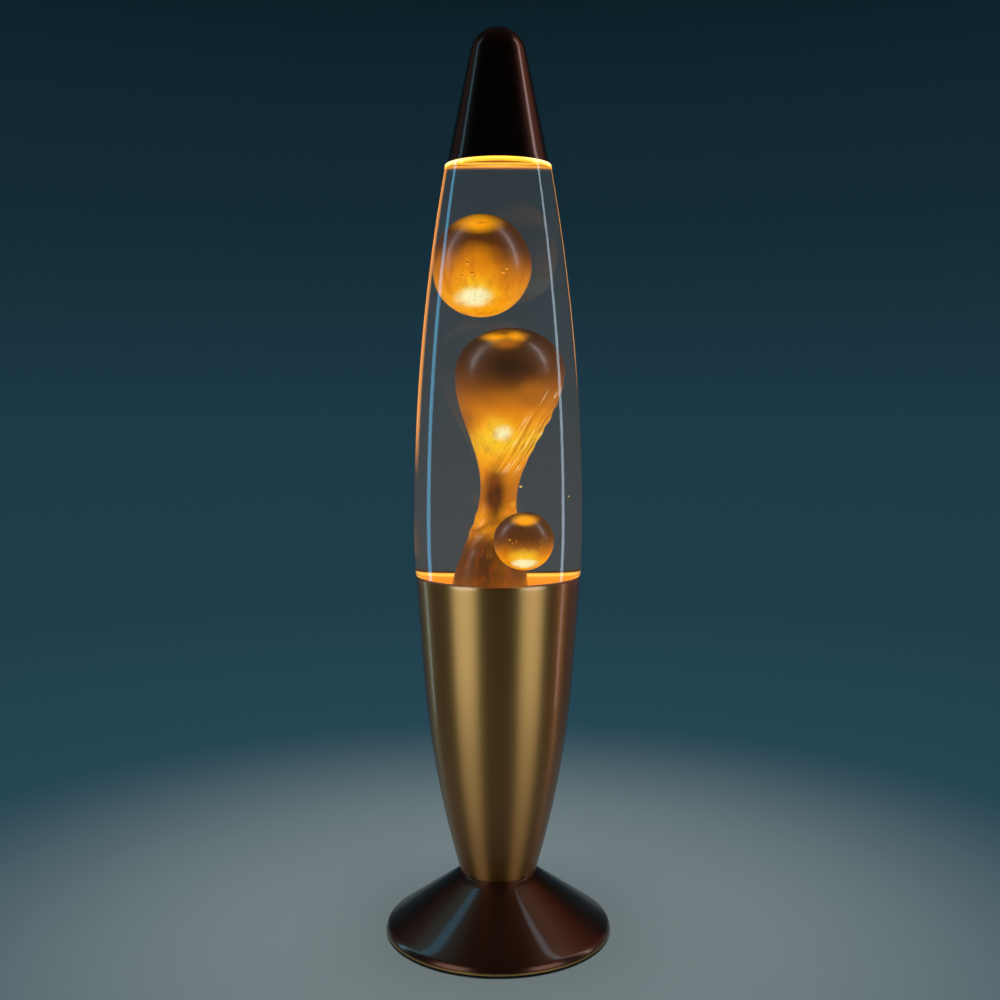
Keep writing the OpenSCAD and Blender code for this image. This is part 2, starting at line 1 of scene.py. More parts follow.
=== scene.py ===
import json
import math
import bpy
import bmesh
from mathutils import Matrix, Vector

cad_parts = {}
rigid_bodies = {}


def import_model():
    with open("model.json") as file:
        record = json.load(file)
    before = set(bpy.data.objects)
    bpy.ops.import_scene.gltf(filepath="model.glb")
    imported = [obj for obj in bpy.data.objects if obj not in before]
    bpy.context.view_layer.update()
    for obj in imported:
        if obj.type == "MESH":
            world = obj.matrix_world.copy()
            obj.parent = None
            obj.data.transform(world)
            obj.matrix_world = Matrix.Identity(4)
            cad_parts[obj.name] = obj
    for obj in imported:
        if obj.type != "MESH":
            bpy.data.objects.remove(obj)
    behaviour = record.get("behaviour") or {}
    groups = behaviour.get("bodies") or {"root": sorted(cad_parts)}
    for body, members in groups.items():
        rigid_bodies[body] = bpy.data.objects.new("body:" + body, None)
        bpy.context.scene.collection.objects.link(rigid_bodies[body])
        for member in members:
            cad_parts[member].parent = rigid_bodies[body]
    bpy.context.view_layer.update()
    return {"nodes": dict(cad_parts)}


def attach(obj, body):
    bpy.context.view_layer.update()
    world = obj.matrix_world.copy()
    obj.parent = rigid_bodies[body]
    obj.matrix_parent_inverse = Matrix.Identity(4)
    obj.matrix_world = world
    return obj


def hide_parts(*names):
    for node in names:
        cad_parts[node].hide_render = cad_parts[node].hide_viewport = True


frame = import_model()
scene = bpy.context.scene
scene.view_settings.view_transform = "Standard"
mm = 0.001
fullTurn = 2 * math.pi
print("frame: loaded", len(frame["nodes"]), "nodes")

# camera at the photographed angle
photoView = {"place": (0.0008, -0.5582, 0.24796), "tilt": 85.0, "lens": 44.76, "sensor": 36.0}
camData = bpy.data.cameras.new("photoView")
camData.lens, camData.sensor_width = photoView["lens"], photoView["sensor"]
cam = bpy.data.objects.new("photoView", camData)
cam.location = photoView["place"]
cam.rotation_euler = (math.radians(photoView["tilt"]), 0, 0)
scene.collection.objects.link(cam)
scene.camera = cam

# lamps: turn is measured from the camera's side, to the right; skips and only name groups of pieces
lampPairs = {
    "soft": {
        "away": 1.0, "high": 0.22, "skips": ["glass", "wax", "body", "cap", "stage"],
        "Left": {"turn": -46, "size": (0.74, 1.35), "power": 7.8, "tint": (0.93, 1, 1.12)},
        "Right": {"turn": 48, "size": (0.74, 1.35), "power": 7.8, "tint": (0.93, 1, 1.12)}},
    "band": {
        "away": 1.0, "high": 0.22, "only": ["body"],
        "Left": {"turn": -48, "size": (0.80, 1.35), "power": 14.0, "tint": (0.66, 1, 1.6)},
        "Right": {"turn": 48, "size": (0.76, 1.35), "power": 12.5, "tint": (0.66, 0.98, 1.5)}},
    "warm": {
        "away": 0.9, "only": ["cap", "foot"],
        "Left": {"turn": -122, "high": 0.4, "size": (0.5, 1.8), "power": 0.3, "tint": (1, 0.45, 0.3)},
        "Right": {"turn": 115, "high": 0.55, "size": (0.6, 1.9), "power": 1.3, "tint": (1, 0.34, 0.18)}},
    "cap": {
        "away": 0.5, "high": 0.55, "only": ["cap"],
        "Left": {"turn": -98, "size": (0.09, 1.0), "power": 0.5, "tint": (0.33, 0.75, 1)},
        "Right": {"turn": 98, "size": (0.10, 1.0), "power": 1.6, "tint": (1, 0.76, 0.74)}},
    "strip": {
        "away": 0.5, "high": 0.55, "skips": ["body", "wax", "cap", "stage"],
        "Left": {"turn": -105, "size": (0.09, 1.8), "power": 2.9, "tint": (0.15, 0.6, 1)},
        "Right": {"turn": 95, "size": (0.06, 1.8), "power": 2.3, "tint": (0.66, 0.84, 1)}},
    "edge": {
        "away": 0.3, "high": 0.1, "only": ["body"],
        "Left": {"turn": -117, "size": (0.03, 0.5), "power": 0.08, "tint": (0.4, 0.85, 1.2)},
        "Right": {"turn": 98, "size": (0.03, 0.5), "power": 0.08, "tint": (0.8, 0.8, 1.15)}},
    "sheen": {
        "away": 0.45, "high": 0.7, "only": ["wax"],
        "Left": {"turn": -92, "size": (0.004, 0.9), "power": 1.5, "tint": (0.9, 0.92, 1)},
        "Right": {"turn": 90, "size": (0.004, 0.9), "power": 1.5, "tint": (1, 0.92, 0.95)}},
    "glow": {
        "away": 0.6, "only": ["glass"],
        "Left": {"turn": -150, "high": 0.38, "size": (0.30, 0.42), "power": 0.98, "tint": (1, 0.36, 0.05)},
        "Right": {"turn": 157, "high": 0.42, "size": (0.10, 0.34), "power": 0.16, "tint": (1, 0.40, 0.08)}},
    "back": {
        "away": 0.8, "high": 0.25, "only": ["body"],
        "Left": {"turn": -112, "size": (1.5, 0.9), "power": 0.45, "tint": (1, 0.78, 0.7)},
        "Right": {"turn": 112, "size": (1.5, 0.9), "power": 0.70, "tint": (1, 0.45, 0.5)}},
}
studioLamps = {
    name + side: {**pair, **pair[side]} for name, pair in lampPairs.items() for side in ("Left", "Right")}
studioLamps["front"] = {
    "turn": 0, "away": 1.2, "high": 0.3, "size": (1.0, 1.2), "power": 0.3, "tint": (1, 0.3, 0.15),
    "only": ["body"]}
ceiling = {"turn": 0, "away": 0.0, "high": 1.7, "size": (1.3, 1.3), "tint": (1, 1, 1)}
studioLamps["stageLight"] = {**ceiling, "power": 8.0, "only": ["stage"]}
studioLamps["overhead"] = {**ceiling, "power": 9.0}
world = bpy.data.worlds.new("studio")
world.use_nodes = True
world.node_tree.nodes["Background"].inputs["Color"].default_value = (0.03, 0.026, 0.024, 1)
scene.world = world


# a socket with maths on it, for shader trees and geometry trees alike
class Wire:
    def __init__(self, tree, socket=None):
        self.tree, self.socket = tree, socket

    def node(self, kind, settings=None, sockets=None, out=0):
        made = self.tree.nodes.new(kind)
        for key, value in (settings or {}).items():
            if key == "easing":
                made.color_ramp.interpolation = value
            elif key == "stops":
                stops = made.color_ramp.elements
                while len(stops) < len(value):
                    stops.new(0.5)
                for stop, (place, colour) in zip(stops, value):
                    stop.position, stop.color = place, (*colour, 1)
            else:
                setattr(made, key, value)
        for key, value in (sockets or {}).items():
            if isinstance(value, Wire):
                self.tree.links.new(value.socket, made.inputs[key])
            else:
                made.inputs[key].default_value = value
        return Wire(self.tree, made.outputs[out] if made.outputs else None)

    def maths(self, operation, *values):
        return self.node("ShaderNodeMath", {"operation": operation}, dict(enumerate(values)))

    def __add__(self, other):
        return self.maths("ADD", self, other)

    def __sub__(self, other):
        return self.maths("SUBTRACT", self, other)

    def __rsub__(self, other):
        return self.maths("SUBTRACT", other, self)

    def __mul__(self, other):
        return self.maths("MULTIPLY", self, other)

    def __truediv__(self, other):
        return self.maths("DIVIDE", self, other)

    def __rtruediv__(self, other):
        return self.maths("DIVIDE", other, self)

    __radd__, __rmul__ = __add__, __mul__

    def span(self, low, high, smooth=False):
        kind = {"interpolation_type": "SMOOTHSTEP"} if smooth else {}
        limits = {"Value": self, "From Min": low, "From Max": high}
        return self.node("ShaderNodeMapRange", kind, limits, "Result")

    def ramp(self, stops, soft=False):
        settings = {"easing": "B_SPLINE" if soft else "LINEAR", "stops": stops}
        return self.node("ShaderNodeValToRGB", settings, {"Fac": self}, "Color")

    def blend(self, first, second):
        a, b = ((*c, 1) if isinstance(c, tuple) else c for c in (first, second))
        settings = {"data_type": "RGBA", "clamp_factor": True}
        return self.node("ShaderNodeMix", settings, {0: self, 6: a, 7: b}, 2)

    def parts(self):
        made = self.node("ShaderNodeSeparateXYZ", None, {"Vector": self})
        return [Wire(self.tree, s) for s in made.socket.node.outputs]

    def point(self, x=0, y=0, z=0):
        return self.node("ShaderNodeCombineXYZ", None, {"X": x, "Y": y, "Z": z})


def addLamp(name, spec):
    data = bpy.data.lights.new(name, "AREA")
    data.shape = "RECTANGLE"
    data.size, data.size_y = spec["size"]
    data.energy, data.color = spec["power"], spec["tint"]
    data.use_nodes = True
    data.node_tree.nodes.clear()
    w = Wire(data.node_tree)
    across, along = w.node("ShaderNodeNewGeometry", None, None, "Parametric").parts()[:2]
    fadeAcross = (across * (1 - across) * 4).span(0, 0.8, True)  # soft edges
    fadeAlong = (along * (1 - along) * 4).span(0, 0.6, True)
    glow = w.node("ShaderNodeEmission", None, {"Strength": fadeAcross * fadeAlong})
    w.node("ShaderNodeOutputLight", None, {"Surface": glow})
    lamp = bpy.data.objects.new(name, data)
    turn = math.radians(spec["turn"])
    lamp.location = (math.sin(turn) * spec["away"], -math.cos(turn) * spec["away"], spec["high"])
    lamp.rotation_euler = (math.radians(90 if spec["away"] else 0), 0, turn)
    lamp.visible_camera = lamp.visible_transmission = False
    lamp.visible_glossy = spec["away"] > 0
    scene.collection.objects.link(lamp)


for lampName, lampSpec in studioLamps.items():
    addLamp(lampName, lampSpec)
print("camera and lamps: set")


def newFinish(name):
    mat = bpy.data.materials.new(name)
    mat.use_nodes = True
    mat.node_tree.nodes.clear()
    return mat, Wire(mat.node_tree)


def principled(wire, sockets):
    return wire.node("ShaderNodeBsdfPrincipled", None, sockets)


def closeFinish(wire, shader):
    wire.node("ShaderNodeOutputMaterial", None, {"Surface": shader})


def objectPoint(wire):
    return wire.node("ShaderNodeTexCoord", None, None, "Object")


def noise(wire, at, scale, detail=3.0, rough=0.5):
    sockets = {"Vector": at, "Scale": scale, "Detail": detail, "Roughness": rough}
    return wire.node("ShaderNodeTexNoise", None, sockets)


def spunRings(wire, z, perMetre):
    sockets = {"W": z * perMetre, "Scale": 1.0, "Detail": 3.0}
    return wire.node("ShaderNodeTexNoise", {"noise_dimensions": "1D"}, sockets)


def relief(wire, height, strength, depth):
    return wire.node("ShaderNodeBump", None, {"Height": height, "Strength": strength, "Distance": depth})


# plain finish with clouding in its colour and roughness, and a fine grain
def plainFinish(name, dark, light, rough, metal=0.0, grain=400.0, depth=0.00005, coat=0.0):
    mat, w = newFinish(name)
    at = objectPoint(w)
    cloud, fine = noise(w, at, 45.0), noise(w, at, grain)
    closeFinish(w, principled(w, {
        "Base Color": (cloud * 0.7 + fine * 0.3).span(0.3, 0.7).blend(dark, light),
        "Roughness": (cloud - 0.5) * 0.25 + rough, "Metallic": metal, "Coat Weight": coat,
        "Normal": relief(w, fine, 0.25, depth)}))
    return mat


# mesh helpers: outlines are lists of (radius, height) in millimetres
def steps(low, high, count):
    return [low + (high - low) * k / count for k in range(count + 1)]


def between(a, b, share):
    return tuple(p + (q - p) * share for p, q in zip(a, b))


def bend(start, corner, end, count):
    return [tuple((1 - s) ** 2 * a + 2 * s * (1 - s) * b + s * s * c for a, b, c in zip(start, corner, end))
            for s in steps(0, 1, count)]


def arc(centre, radius, start, end, count):
    angles = [math.radians(a) for a in steps(start, end, count)]
    return [(centre[0] + radius * math.cos(a), centre[1] + radius * math.sin(a)) for a in angles]


# corner given as (radius, height, cut) is rounded over that cut
def eased(corners, closed=False, count=5):
    path = []
    for i, corner in enumerate(corners):
        cut = corner[2] if len(corner) > 2 else 0
        here = Vector(corner[:2])
        if not cut or (not closed and i in (0, len(corners) - 1)):
            path.append(tuple(here))
            continue
        ways = [(Vector(corners[k % len(corners)][:2]) - here).normalized() for k in (i - 1, i + 1)]
        path += bend(here + ways[0] * cut, here, here + ways[1] * cut, count)
    return path


def around(radius, z, turn):
    return radius * mm * math.cos(turn), radius * mm * math.sin(turn), z * mm


def newPiece(name, mesh):
    made = bpy.data.objects.new(name, mesh)
    scene.collection.objects.link(made)
    return made


def smoothFaces(mesh, sharp):
    mesh.polygons.foreach_set("use_smooth", [True] * len(mesh.polygons))
    mesh.set_sharp_from_angle(angle=math.radians(sharp))


def smoothMesh(name, bm, sharp):
    bmesh.ops.remove_doubles(bm, verts=bm.verts, dist=1e-7)
    bmesh.ops.recalc_face_normals(bm, faces=bm.faces)
    mesh = bpy.data.meshes.new(name)
    bm.to_mesh(mesh)
    bm.free()
    smoothFaces(mesh, sharp)
    return newPiece(name, mesh)


def stitchRings(bm, rings, closed=False):
    for a, b in zip(rings, rings[1:] + (rings[:1] if closed else [])):
        for i in range(max(len(a), len(b))):
            corners = [a[i % len(a)], a[(i + 1) % len(a)], b[(i + 1) % len(b)], b[i % len(b)]]
            corners = list(dict.fromkeys(corners))
            if len(corners) > 2:
                bm.faces.new(corners)


def lathe(name, outline, turns=96, closed=False, sharp=32):
    bm = bmesh.new()
    rings = []
    for r, z in outline:
        count = 1 if r < 1e-6 else turns
        rings.append([bm.verts.new(around(r, z, fullTurn * i / turns)) for i in range(count)])
    stitchRings(bm, rings, closed)
    return smoothMesh(name, bm, sharp)


def setFinish(piece, mat):
    piece.data.materials.clear()
    piece.data.materials.append(mat)


def settle(piece, body, node, mat=None):
    if mat:
        setFinish(piece, mat)
    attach(piece, body)
    if node:
        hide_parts(node)


# the modifier's result becomes the piece's plain mesh
def keepResult(piece, mod, sharp=32):
    result = piece.evaluated_get(bpy.context.evaluated_depsgraph_get())
    mesh = bpy.data.meshes.new_from_object(result)
    piece.modifiers.remove(mod)
    piece.data = mesh
    smoothFaces(mesh, sharp)


# geometry trees with named inputs
def startTree(name, inputs):
    tree = bpy.data.node_groups.new(name, "GeometryNodeTree")
    tree.interface.new_socket("Geometry", in_out="INPUT", socket_type="NodeSocketGeometry")
    for label, kind in inputs.items():
        tree.interface.new_socket(label, in_out="INPUT", socket_type="NodeSocket" + kind)
    tree.interface.new_socket("Geometry", in_out="OUTPUT", socket_type="NodeSocketGeometry")
    given = tree.nodes.new("NodeGroupInput")
    return tree, {s.name: Wire(tree, s) for s in given.outputs if s.name}


def endTree(given, shape):
    w = given["Geometry"]
    shape = w.node("GeometryNodeRealizeInstances", None, {"Geometry": shape})
    shape = w.node("GeometryNodeSetMaterial", None, {"Geometry": shape, "Material": given["Finish"]})
    w.node("NodeGroupOutput", None, {"Geometry": shape})


def runTree(piece, tree, values, sharp=32):
    mod = piece.modifiers.new(tree.name, "NODES")
    mod.node_group = tree
    for item in tree.interface.items_tree:
        if item.in_out == "INPUT" and item.name in values:
            mod[item.identifier] = values[item.name]
    keepResult(piece, mod, sharp)


def roundParts(given):
    w = given["Geometry"]
    x, y, z = w.node("GeometryNodeInputPosition").parts()
    radius = w.maths("SQRT", x * x + y * y)

    def pushed(amount):
        offset = w.point(x / radius * amount, y / radius * amount)
        return w.node("GeometryNodeSetPosition", None, {"Geometry": w, "Offset": offset})

    return w, z, w.maths("ARCTAN2", y, x), pushed


# screw thread pressed into a round skin
threadTree, given = startTree("screwThread", {
    "Pitch": "Float", "Depth": "Float", "Low": "Float", "High": "Float", "Finish": "Material"})
w, z, turn, pushed = roundParts(given)
wave = w.maths("COSINE", (z / given["Pitch"] - turn / fullTurn) * fullTurn)
fromLow = ((z - given["Low"]) / given["Pitch"]).span(0, 1)
fromHigh = ((given["High"] - z) / given["Pitch"]).span(0, 1)
endTree(given, pushed((wave - 1) * 0.5 * given["Depth"] * w.maths("MINIMUM", fromLow, fromHigh)))

# flutes pressed into a skirt, deepest at its lower edge
fluteTree, given = startTree("crownFlutes", {
    "Flutes": "Float", "Depth": "Float", "Low": "Float", "High": "Float", "Finish": "Material"})
w, z, turn, pushed = roundParts(given)
wave = w.maths("COSINE", turn * given["Flutes"])
endTree(given, pushed((wave - 1) * 0.5 * given["Depth"] * z.span(given["High"], given["Low"], True)))

# copies of a piece on a circle
circleTree, given = startTree("roundTheAxis", {
    "Count": "Int", "Radius": "Float", "First": "Float", "Finish": "Material"})
w = given["Geometry"]
angle = w.node("GeometryNodeInputIndex") / given["Count"] * fullTurn + given["First"]
spot = w.point(w.maths("COSINE", angle) * given["Radius"], w.maths("SINE", angle) * given["Radius"])
spots = w.node("GeometryNodePoints", None, {"Count": given["Count"], "Position": spot})
endTree(given, w.node("GeometryNodeInstanceOnPoints", None, {
    "Points": spots, "Instance": w, "Rotation": w.point(z=angle)}))

# wire wound in curls along a ring
coilTree, given = startTree("curledWire", {
    "Ring": "Float", "Curl": "Float", "Curls": "Float", "Wire": "Float", "Height": "Float",
    "Finish": "Material"})
w = given["Geometry"]
ring = w.node("GeometryNodeCurvePrimitiveCircle", None, {"Resolution": 720, "Radius": given["Ring"]})
along = w.node("GeometryNodeSplineParameter", None, None, "Factor") * fullTurn
curl = along * given["Curls"]
reach = given["Ring"] + given["Curl"] * w.maths("COSINE", curl)
spot = w.point(reach * w.maths("COSINE", along), reach * w.maths("SINE", along),
               given["Height"] + given["Curl"] * w.maths("SINE", curl))
wound = w.node("GeometryNodeSetPosition", None, {"Geometry": ring, "Position": spot})
rod = w.node("GeometryNodeCurvePrimitiveCircle", None, {"Resolution": 10, "Radius": given["Wire"]})
endTree(given, w.node("GeometryNodeCurveToMesh", None, {"Curve": wound, "Profile Curve": rod}))

# small round drops on given spots, of random size
dropTree, given = startTree("looseDrops", {"Size": "Float", "Seed": "Int", "Finish": "Material"})
w = given["Geometry"]
ball = w.node("GeometryNodeMeshIcoSphere", None, {"Radius": given["Size"], "Subdivisions": 3})
size = w.node("FunctionNodeRandomValue", {"data_type": "FLOAT"}, {2: 0.55, 3: 1.15, "Seed": given["Seed"]}, 1)
endTree(given, w.node("GeometryNodeInstanceOnPoints", None, {"Points": w, "Instance": ball, "Scale": size}))
print("geometry trees: ready")

# stage: one round sweep with a painted pool of light, pale round the lamp and fading to teal further off,
# with painted shade darker towards the top of the wall
sweep = {"floor": 900, "bend": 500, "wall": 1900, "pale": (0.54, 0.68, 0.71), "far": (0.060, 0.190, 0.270),
         "top": (0.016, 0.056, 0.082)}
stageOutline = [(0, 0), (150, 0), (400, 0), (sweep["floor"], 0)]
stageOutline += arc((sweep["floor"], sweep["bend"]), sweep["bend"], -90, 0, 16)[1:]
stageOutline += [(sweep["floor"] + sweep["bend"], sweep["wall"])]
backdrop = lathe("backdrop", stageOutline, 96, sharp=180)
mat, w = newFinish("paintedPoolSweep")
x, y, z = objectPoint(w).parts()
# painted light: the pale pool and its fade by distance and height stand in for lamp light falling on the
# floor
fade = (w.maths("SQRT", x * x + y * y) + z * 0.6).span(0.06, 0.38, True)
away = z.span(0.2, 0.9).blend(sweep["far"], sweep["top"])
closeFinish(w, principled(w, {
    "Base Color": fade.blend(sweep["pale"], away), "Roughness": 0.85, "Specular IOR Level": 0.1}))
setFinish(backdrop, mat)

# body: straight taper under the rim, one long arc down to the waist
body = {"waist": 17.2, "waistZ": 28.0, "rim": 37.1, "rimZ": 165.0, "taper": 44.0, "angle": 4.1, "wall": 1.0,
        "hole": 5.3, "roll": 0.5}
waistR, waistZ, rimZ = body["waist"], body["waistZ"], body["rimZ"]
slope = math.tan(math.radians(body["angle"]))
taperZ = rimZ - body["taper"]
taperR = body["rim"] - body["taper"] * slope
outDir = Vector((math.cos(math.radians(body["angle"])), -math.sin(math.radians(body["angle"]))))
toWaist = Vector((waistR - taperR, waistZ - taperZ))
sweepR = -toWaist.length_squared / (2 * toWaist.dot(outDir))
sweepAt = Vector((taperR, taperZ)) - outDir * sweepR


def bodyRadius(z, inset=0.0):
    join = Vector((taperR, taperZ)) - outDir * inset
    if z >= join.y:
        return join.x + (z - join.y) * slope
    return sweepAt.x + math.sqrt((sweepR - inset) ** 2 - (z - sweepAt.y) ** 2)


def spunLacquer(name, look):
    mat, w = newFinish(name)
    at = objectPoint(w)
    z = at.parts()[2]
    cloud, rings, specks = noise(w, at, 30.0), spunRings(w, z, 3200.0), noise(w, at, 900.0, 1.0)
    # the colour runs from deep at the low height to light at the high height, darker towards the bottom of
    # each piece
    tone = z.span(look["low"], look["high"]) + (cloud - 0.5) * 0.25 + (rings - 0.5) * look["lines"]
    colour = tone.blend(look["deep"], look["light"])
    if "edgeZ" in look:  # painted highlight: a bright gold band along the lower edge stands in for the rim's reflection of the floor
        edge = (z + (cloud - 0.5) * 0.0012).span(look["edgeZ"] + 0.0006, look["edgeZ"])
        colour = edge.blend(colour, look["edge"])
    closeFinish(w, principled(w, {
        "Base Color": colour, "Metallic": look["metal"], "Anisotropic": look["spun"],
        "Anisotropic Rotation": 0.25, "Coat Weight": look["coat"], "Coat Roughness": 0.06,
        "Roughness": (cloud - 0.5) * 0.08 + (rings - 0.5) * 0.06 + look["rough"],
        "Normal": relief(w, rings * 0.8 + specks * 0.2, look["relief"], 0.0001)}))
    return mat


bodyLook = {"deep": (0.30, 0.108, 0.022), "light": (0.60, 0.255, 0.058), "low": 0.02, "high": 0.13,
            "lines": 0.12, "rough": 0.42, "metal": 1.0, "coat": 0.45, "relief": 0.08, "spun": 0.9}
rollZ, bodyFloor = rimZ - body["roll"], waistZ + body["wall"]
bodyOuter = [(bodyRadius(z), z) for z in steps(waistZ + 0.8, rollZ, 56)]
bodyInner = [(bodyRadius(z, body["wall"]), z) for z in steps(rollZ, bodyFloor + 1.2, 40)]
rollAt = ((bodyOuter[-1][0] + bodyInner[0][0]) / 2, rollZ)
floorR = bodyInner[-1][0]
bodyOutline = [(body["hole"], waistZ), (waistR - 0.9, waistZ), (waistR - 0.25, waistZ + 0.2)] + bodyOuter
bodyOutline += arc(rollAt, body["roll"], 0, 180, 8)[1:-1] + bodyInner
bodyOutline += [(floorR - 0.6, bodyFloor + 0.3), (floorR - 1.6, bodyFloor), (body["hole"], bodyFloor)]
bodyShell = lathe("bodyShell", bodyOutline, 144, closed=True)
settle(bodyShell, "base", "base_body", spunLacquer("bronzeSatin", bodyLook))
print("body: made")

# foot: flared shell with a small cove under the body and a rolled lower edge
foot = {"rim": 51.6, "low": 1.0, "shoulder": 4.0, "lip": 0.5, "wall": 1.2, "cove": 0.8, "hole": 5.3}
shoulderAt = (foot["rim"] - foot["shoulder"], foot["low"] + foot["lip"])
footRun, footDrop = shoulderAt[0] - waistR, waistZ - shoulderAt[1]
footAngle = math.atan2(footDrop, footRun) - math.asin(foot["shoulder"] / math.hypot(footRun, footDrop))


def footSlope(z, inset=0.0):
    return waistR - inset * math.tan(footAngle / 2) + (waistZ - inset - z) / math.tan(footAngle)


coveEnd = (waistR + foot["cove"], waistZ - foot["cove"] * math.tan(footAngle))
shoulderTop = 90 - math.degrees(footAngle)
shoulder = arc(shoulderAt, foot["shoulder"], shoulderTop, 0, 10)
rolledEdge = [(0, 0.25), (0.2, 0.05), (0.6, 0), (1.0, 0.05), (foot["wall"], 0.3)]
innerTop = waistZ - foot["wall"]
footOutline = [(foot["hole"], waistZ - 0.02), (waistR - 0.4, waistZ - 0.02)]
footOutline += bend((waistR, waistZ), (waistR + 0.2, coveEnd[1] + 0.15), coveEnd, 6)
footOutline += [between(coveEnd, shoulder[0], s) for s in steps(0, 1, 12)[1:-1]] + shoulder
footOutline += [(foot["rim"] - inset, foot["low"] + lift) for inset, lift in rolledEdge]
footOutline += arc(shoulderAt, foot["shoulder"] - foot["wall"], 0, shoulderTop, 8)
footOutline += [(footSlope(z, foot["wall"]), z) for z in steps(footOutline[-1][1], innerTop, 10)[1:]]
footOutline += [(foot["hole"], innerTop)]
footShell = lathe("footShell", footOutline, 160, closed=True)

# hole for the cord bush, square to the rear slope
bush = {"height": 12.5, "bore": 2.5, "wall": 1.1, "flange": 1.6, "edge": 1.2, "gap": 0.1}
bushNeck = bush["bore"] + bush["wall"]
bushAt = Vector((0, footSlope(bush["height"]), bush["height"])) * mm


def onRearSlope(piece):
    for v in piece.data.vertices:
        x, y, z = v.co
        v.co = (x, bushAt.y + y * math.cos(footAngle) + z * math.sin(footAngle),
                bushAt.z - y * math.sin(footAngle) + z * math.cos(footAngle))
    return piece


holeR, holeReach = bushNeck + bush["gap"], 6
cutter = onRearSlope(lathe("bushCutter", [
    (0, -holeReach), (holeR, -holeReach), (holeR, holeReach), (0, holeReach)], 48))
cut = footShell.modifiers.new("bushHole", "BOOLEAN")
cut.object, cut.solver = cutter, "EXACT"
keepResult(footShell, cut)
bpy.data.objects.remove(cutter)
# painted shade: the foot is the body's bronze lacquer given far darker colours, standing in for the dark
# surroundings it reflects
footLook = {"deep": (0.075, 0.024, 0.010), "light": (0.100, 0.035, 0.015), "low": 0.0, "high": 0.028,
            "lines": 0.15, "rough": 0.30, "metal": 0.85, "coat": 0.18, "relief": 0.08, "spun": 0.6,
            "edgeZ": 0.0015, "edge": (0.60, 0.33, 0.10)}
settle(footShell, "base", "foot", spunLacquer("shadedBronze", footLook))
print("foot: made")

# cap: cone with a round nose
cap = {"rim": 22.65, "low": 347.0, "nose": 12.5, "noseZ": 393.5, "wall": 0.8}
capRise = cap["noseZ"] - cap["low"]
capTilt = math.atan2(cap["rim"], capRise) - math.asin(cap["nose"] / math.hypot(cap["rim"], capRise))


def capEdge(inset):
    reach = cap["nose"] - inset
    low = (cap["rim"] - inset / math.cos(capTilt), cap["low"])
    top = (reach * math.cos(capTilt), cap["noseZ"] + reach * math.sin(capTilt))
    nose = arc((0, cap["noseZ"]), reach, math.degrees(capTilt), 90, 22)
    return [between(low, top, s) for s in steps(0.012, 0.98, 24)] + nose[:-1] + [(0, nose[-1][1])]


capOuter, capInner = capEdge(0), capEdge(cap["wall"])
capRim = arc(((capOuter[0][0] + capInner[0][0]) / 2, cap["low"] + 0.45), 0.42, 180, 360, 6)
capShell = lathe("capShell", list(reversed(capInner)) + capRim + capOuter, 128)
# painted shade: the cap is the same bronze lacquer given near-black colours, standing in for the dark
# surroundings it reflects
capLook = {"deep": (0.030, 0.008, 0.003), "light": (0.055, 0.015, 0.006), "low": 0.347, "high": 0.40,
           "lines": 0.1, "rough": 0.36, "metal": 0.85, "coat": 0.5, "relief": 0.05, "spun": 0.5}
settle(capShell, "cap", "top_cap", spunLacquer("shadedCapLacquer", capLook))
print("cap: made")

# globe: nested bottle with a round heel, an ogive side, a ledge, a neck and a bead
globe = {"nest": 1.5, "wall": 2.2, "floorZ": 126.0, "floor": 3.0, "heel": 7.0, "swell": 0.75, "bellyUp": 23.0,
         "ledge": 23.4, "ledgeZ": 347.0, "ledgeWide": 3.2, "neck": 13.0, "neckWall": 3.4, "neckZ": 355.0,
         "lipZ": 364.0, "bead": 1.5}
ledgeZ, neckR, neckZ, lipZ = globe["ledgeZ"], globe["neck"], globe["neckZ"], globe["lipZ"]
bellyR, bellyZ = body["rim"] + globe["swell"], rimZ + globe["bellyUp"]


def arcRadius(rise, drop):
    return (rise * rise + drop * drop) / (2 * drop)


sideR = arcRadius(ledgeZ - bellyZ, bellyR - globe["ledge"])
lowR = arcRadius(globe["bellyUp"], globe["swell"])


def globeRadius(z, inset=0.0):
    big = sideR if z >= bellyZ else lowR
    return bellyR - big + math.sqrt((big - inset) ** 2 - (z - bellyZ) ** 2)


def nestRadius(z, inset=0.0):
    return bodyRadius(z, globe["nest"] + inset)


def heelPath(inset, floorZ, heel):
    edge = nestRadius(floorZ + heel, inset)
    rounding = arc((edge - heel, floorZ + heel), heel, -90, 0, 10)
    return [(0, floorZ), ((edge - heel) * 0.5, floorZ)] + rounding


outerGlass = heelPath(0, globe["floorZ"], globe["heel"])
outerGlass += [(nestRadius(z), z) for z in steps(outerGlass[-1][1], rimZ - 0.7, 16)[1:]]
outerGlass += [
    (nestRadius(rimZ) + 0.05, rimZ - 0.2), (nestRadius(rimZ) + 0.3, rimZ + 0.05),
    (globeRadius(rimZ) - 0.6, rimZ + 0.05), (globeRadius(rimZ) - 0.2, rimZ + 0.2),
    (globeRadius(rimZ + 0.7), rimZ + 0.7)]
sideRings = [rimZ + 0.75, rimZ + 0.9] + steps(rimZ + 1.2, ledgeZ - 1.2, 72)  # close rings keep the side true
outerGlass += [(globeRadius(z), z) for z in sideRings + [ledgeZ - 0.9, ledgeZ - 0.75]]
shoulderR = globe["ledge"] - globe["ledgeWide"]
boreR = neckR - globe["neckWall"]
outerGlass += eased([
    (globeRadius(ledgeZ - 0.7), ledgeZ - 0.7), (globe["ledge"], ledgeZ, 0.5), (shoulderR, ledgeZ, 0.6),
    (neckR, neckZ, 1.2), (neckR, lipZ - 2 * globe["bead"])])[1:]
outerGlass += arc((neckR, lipZ - globe["bead"]), globe["bead"], -80, 90, 10)


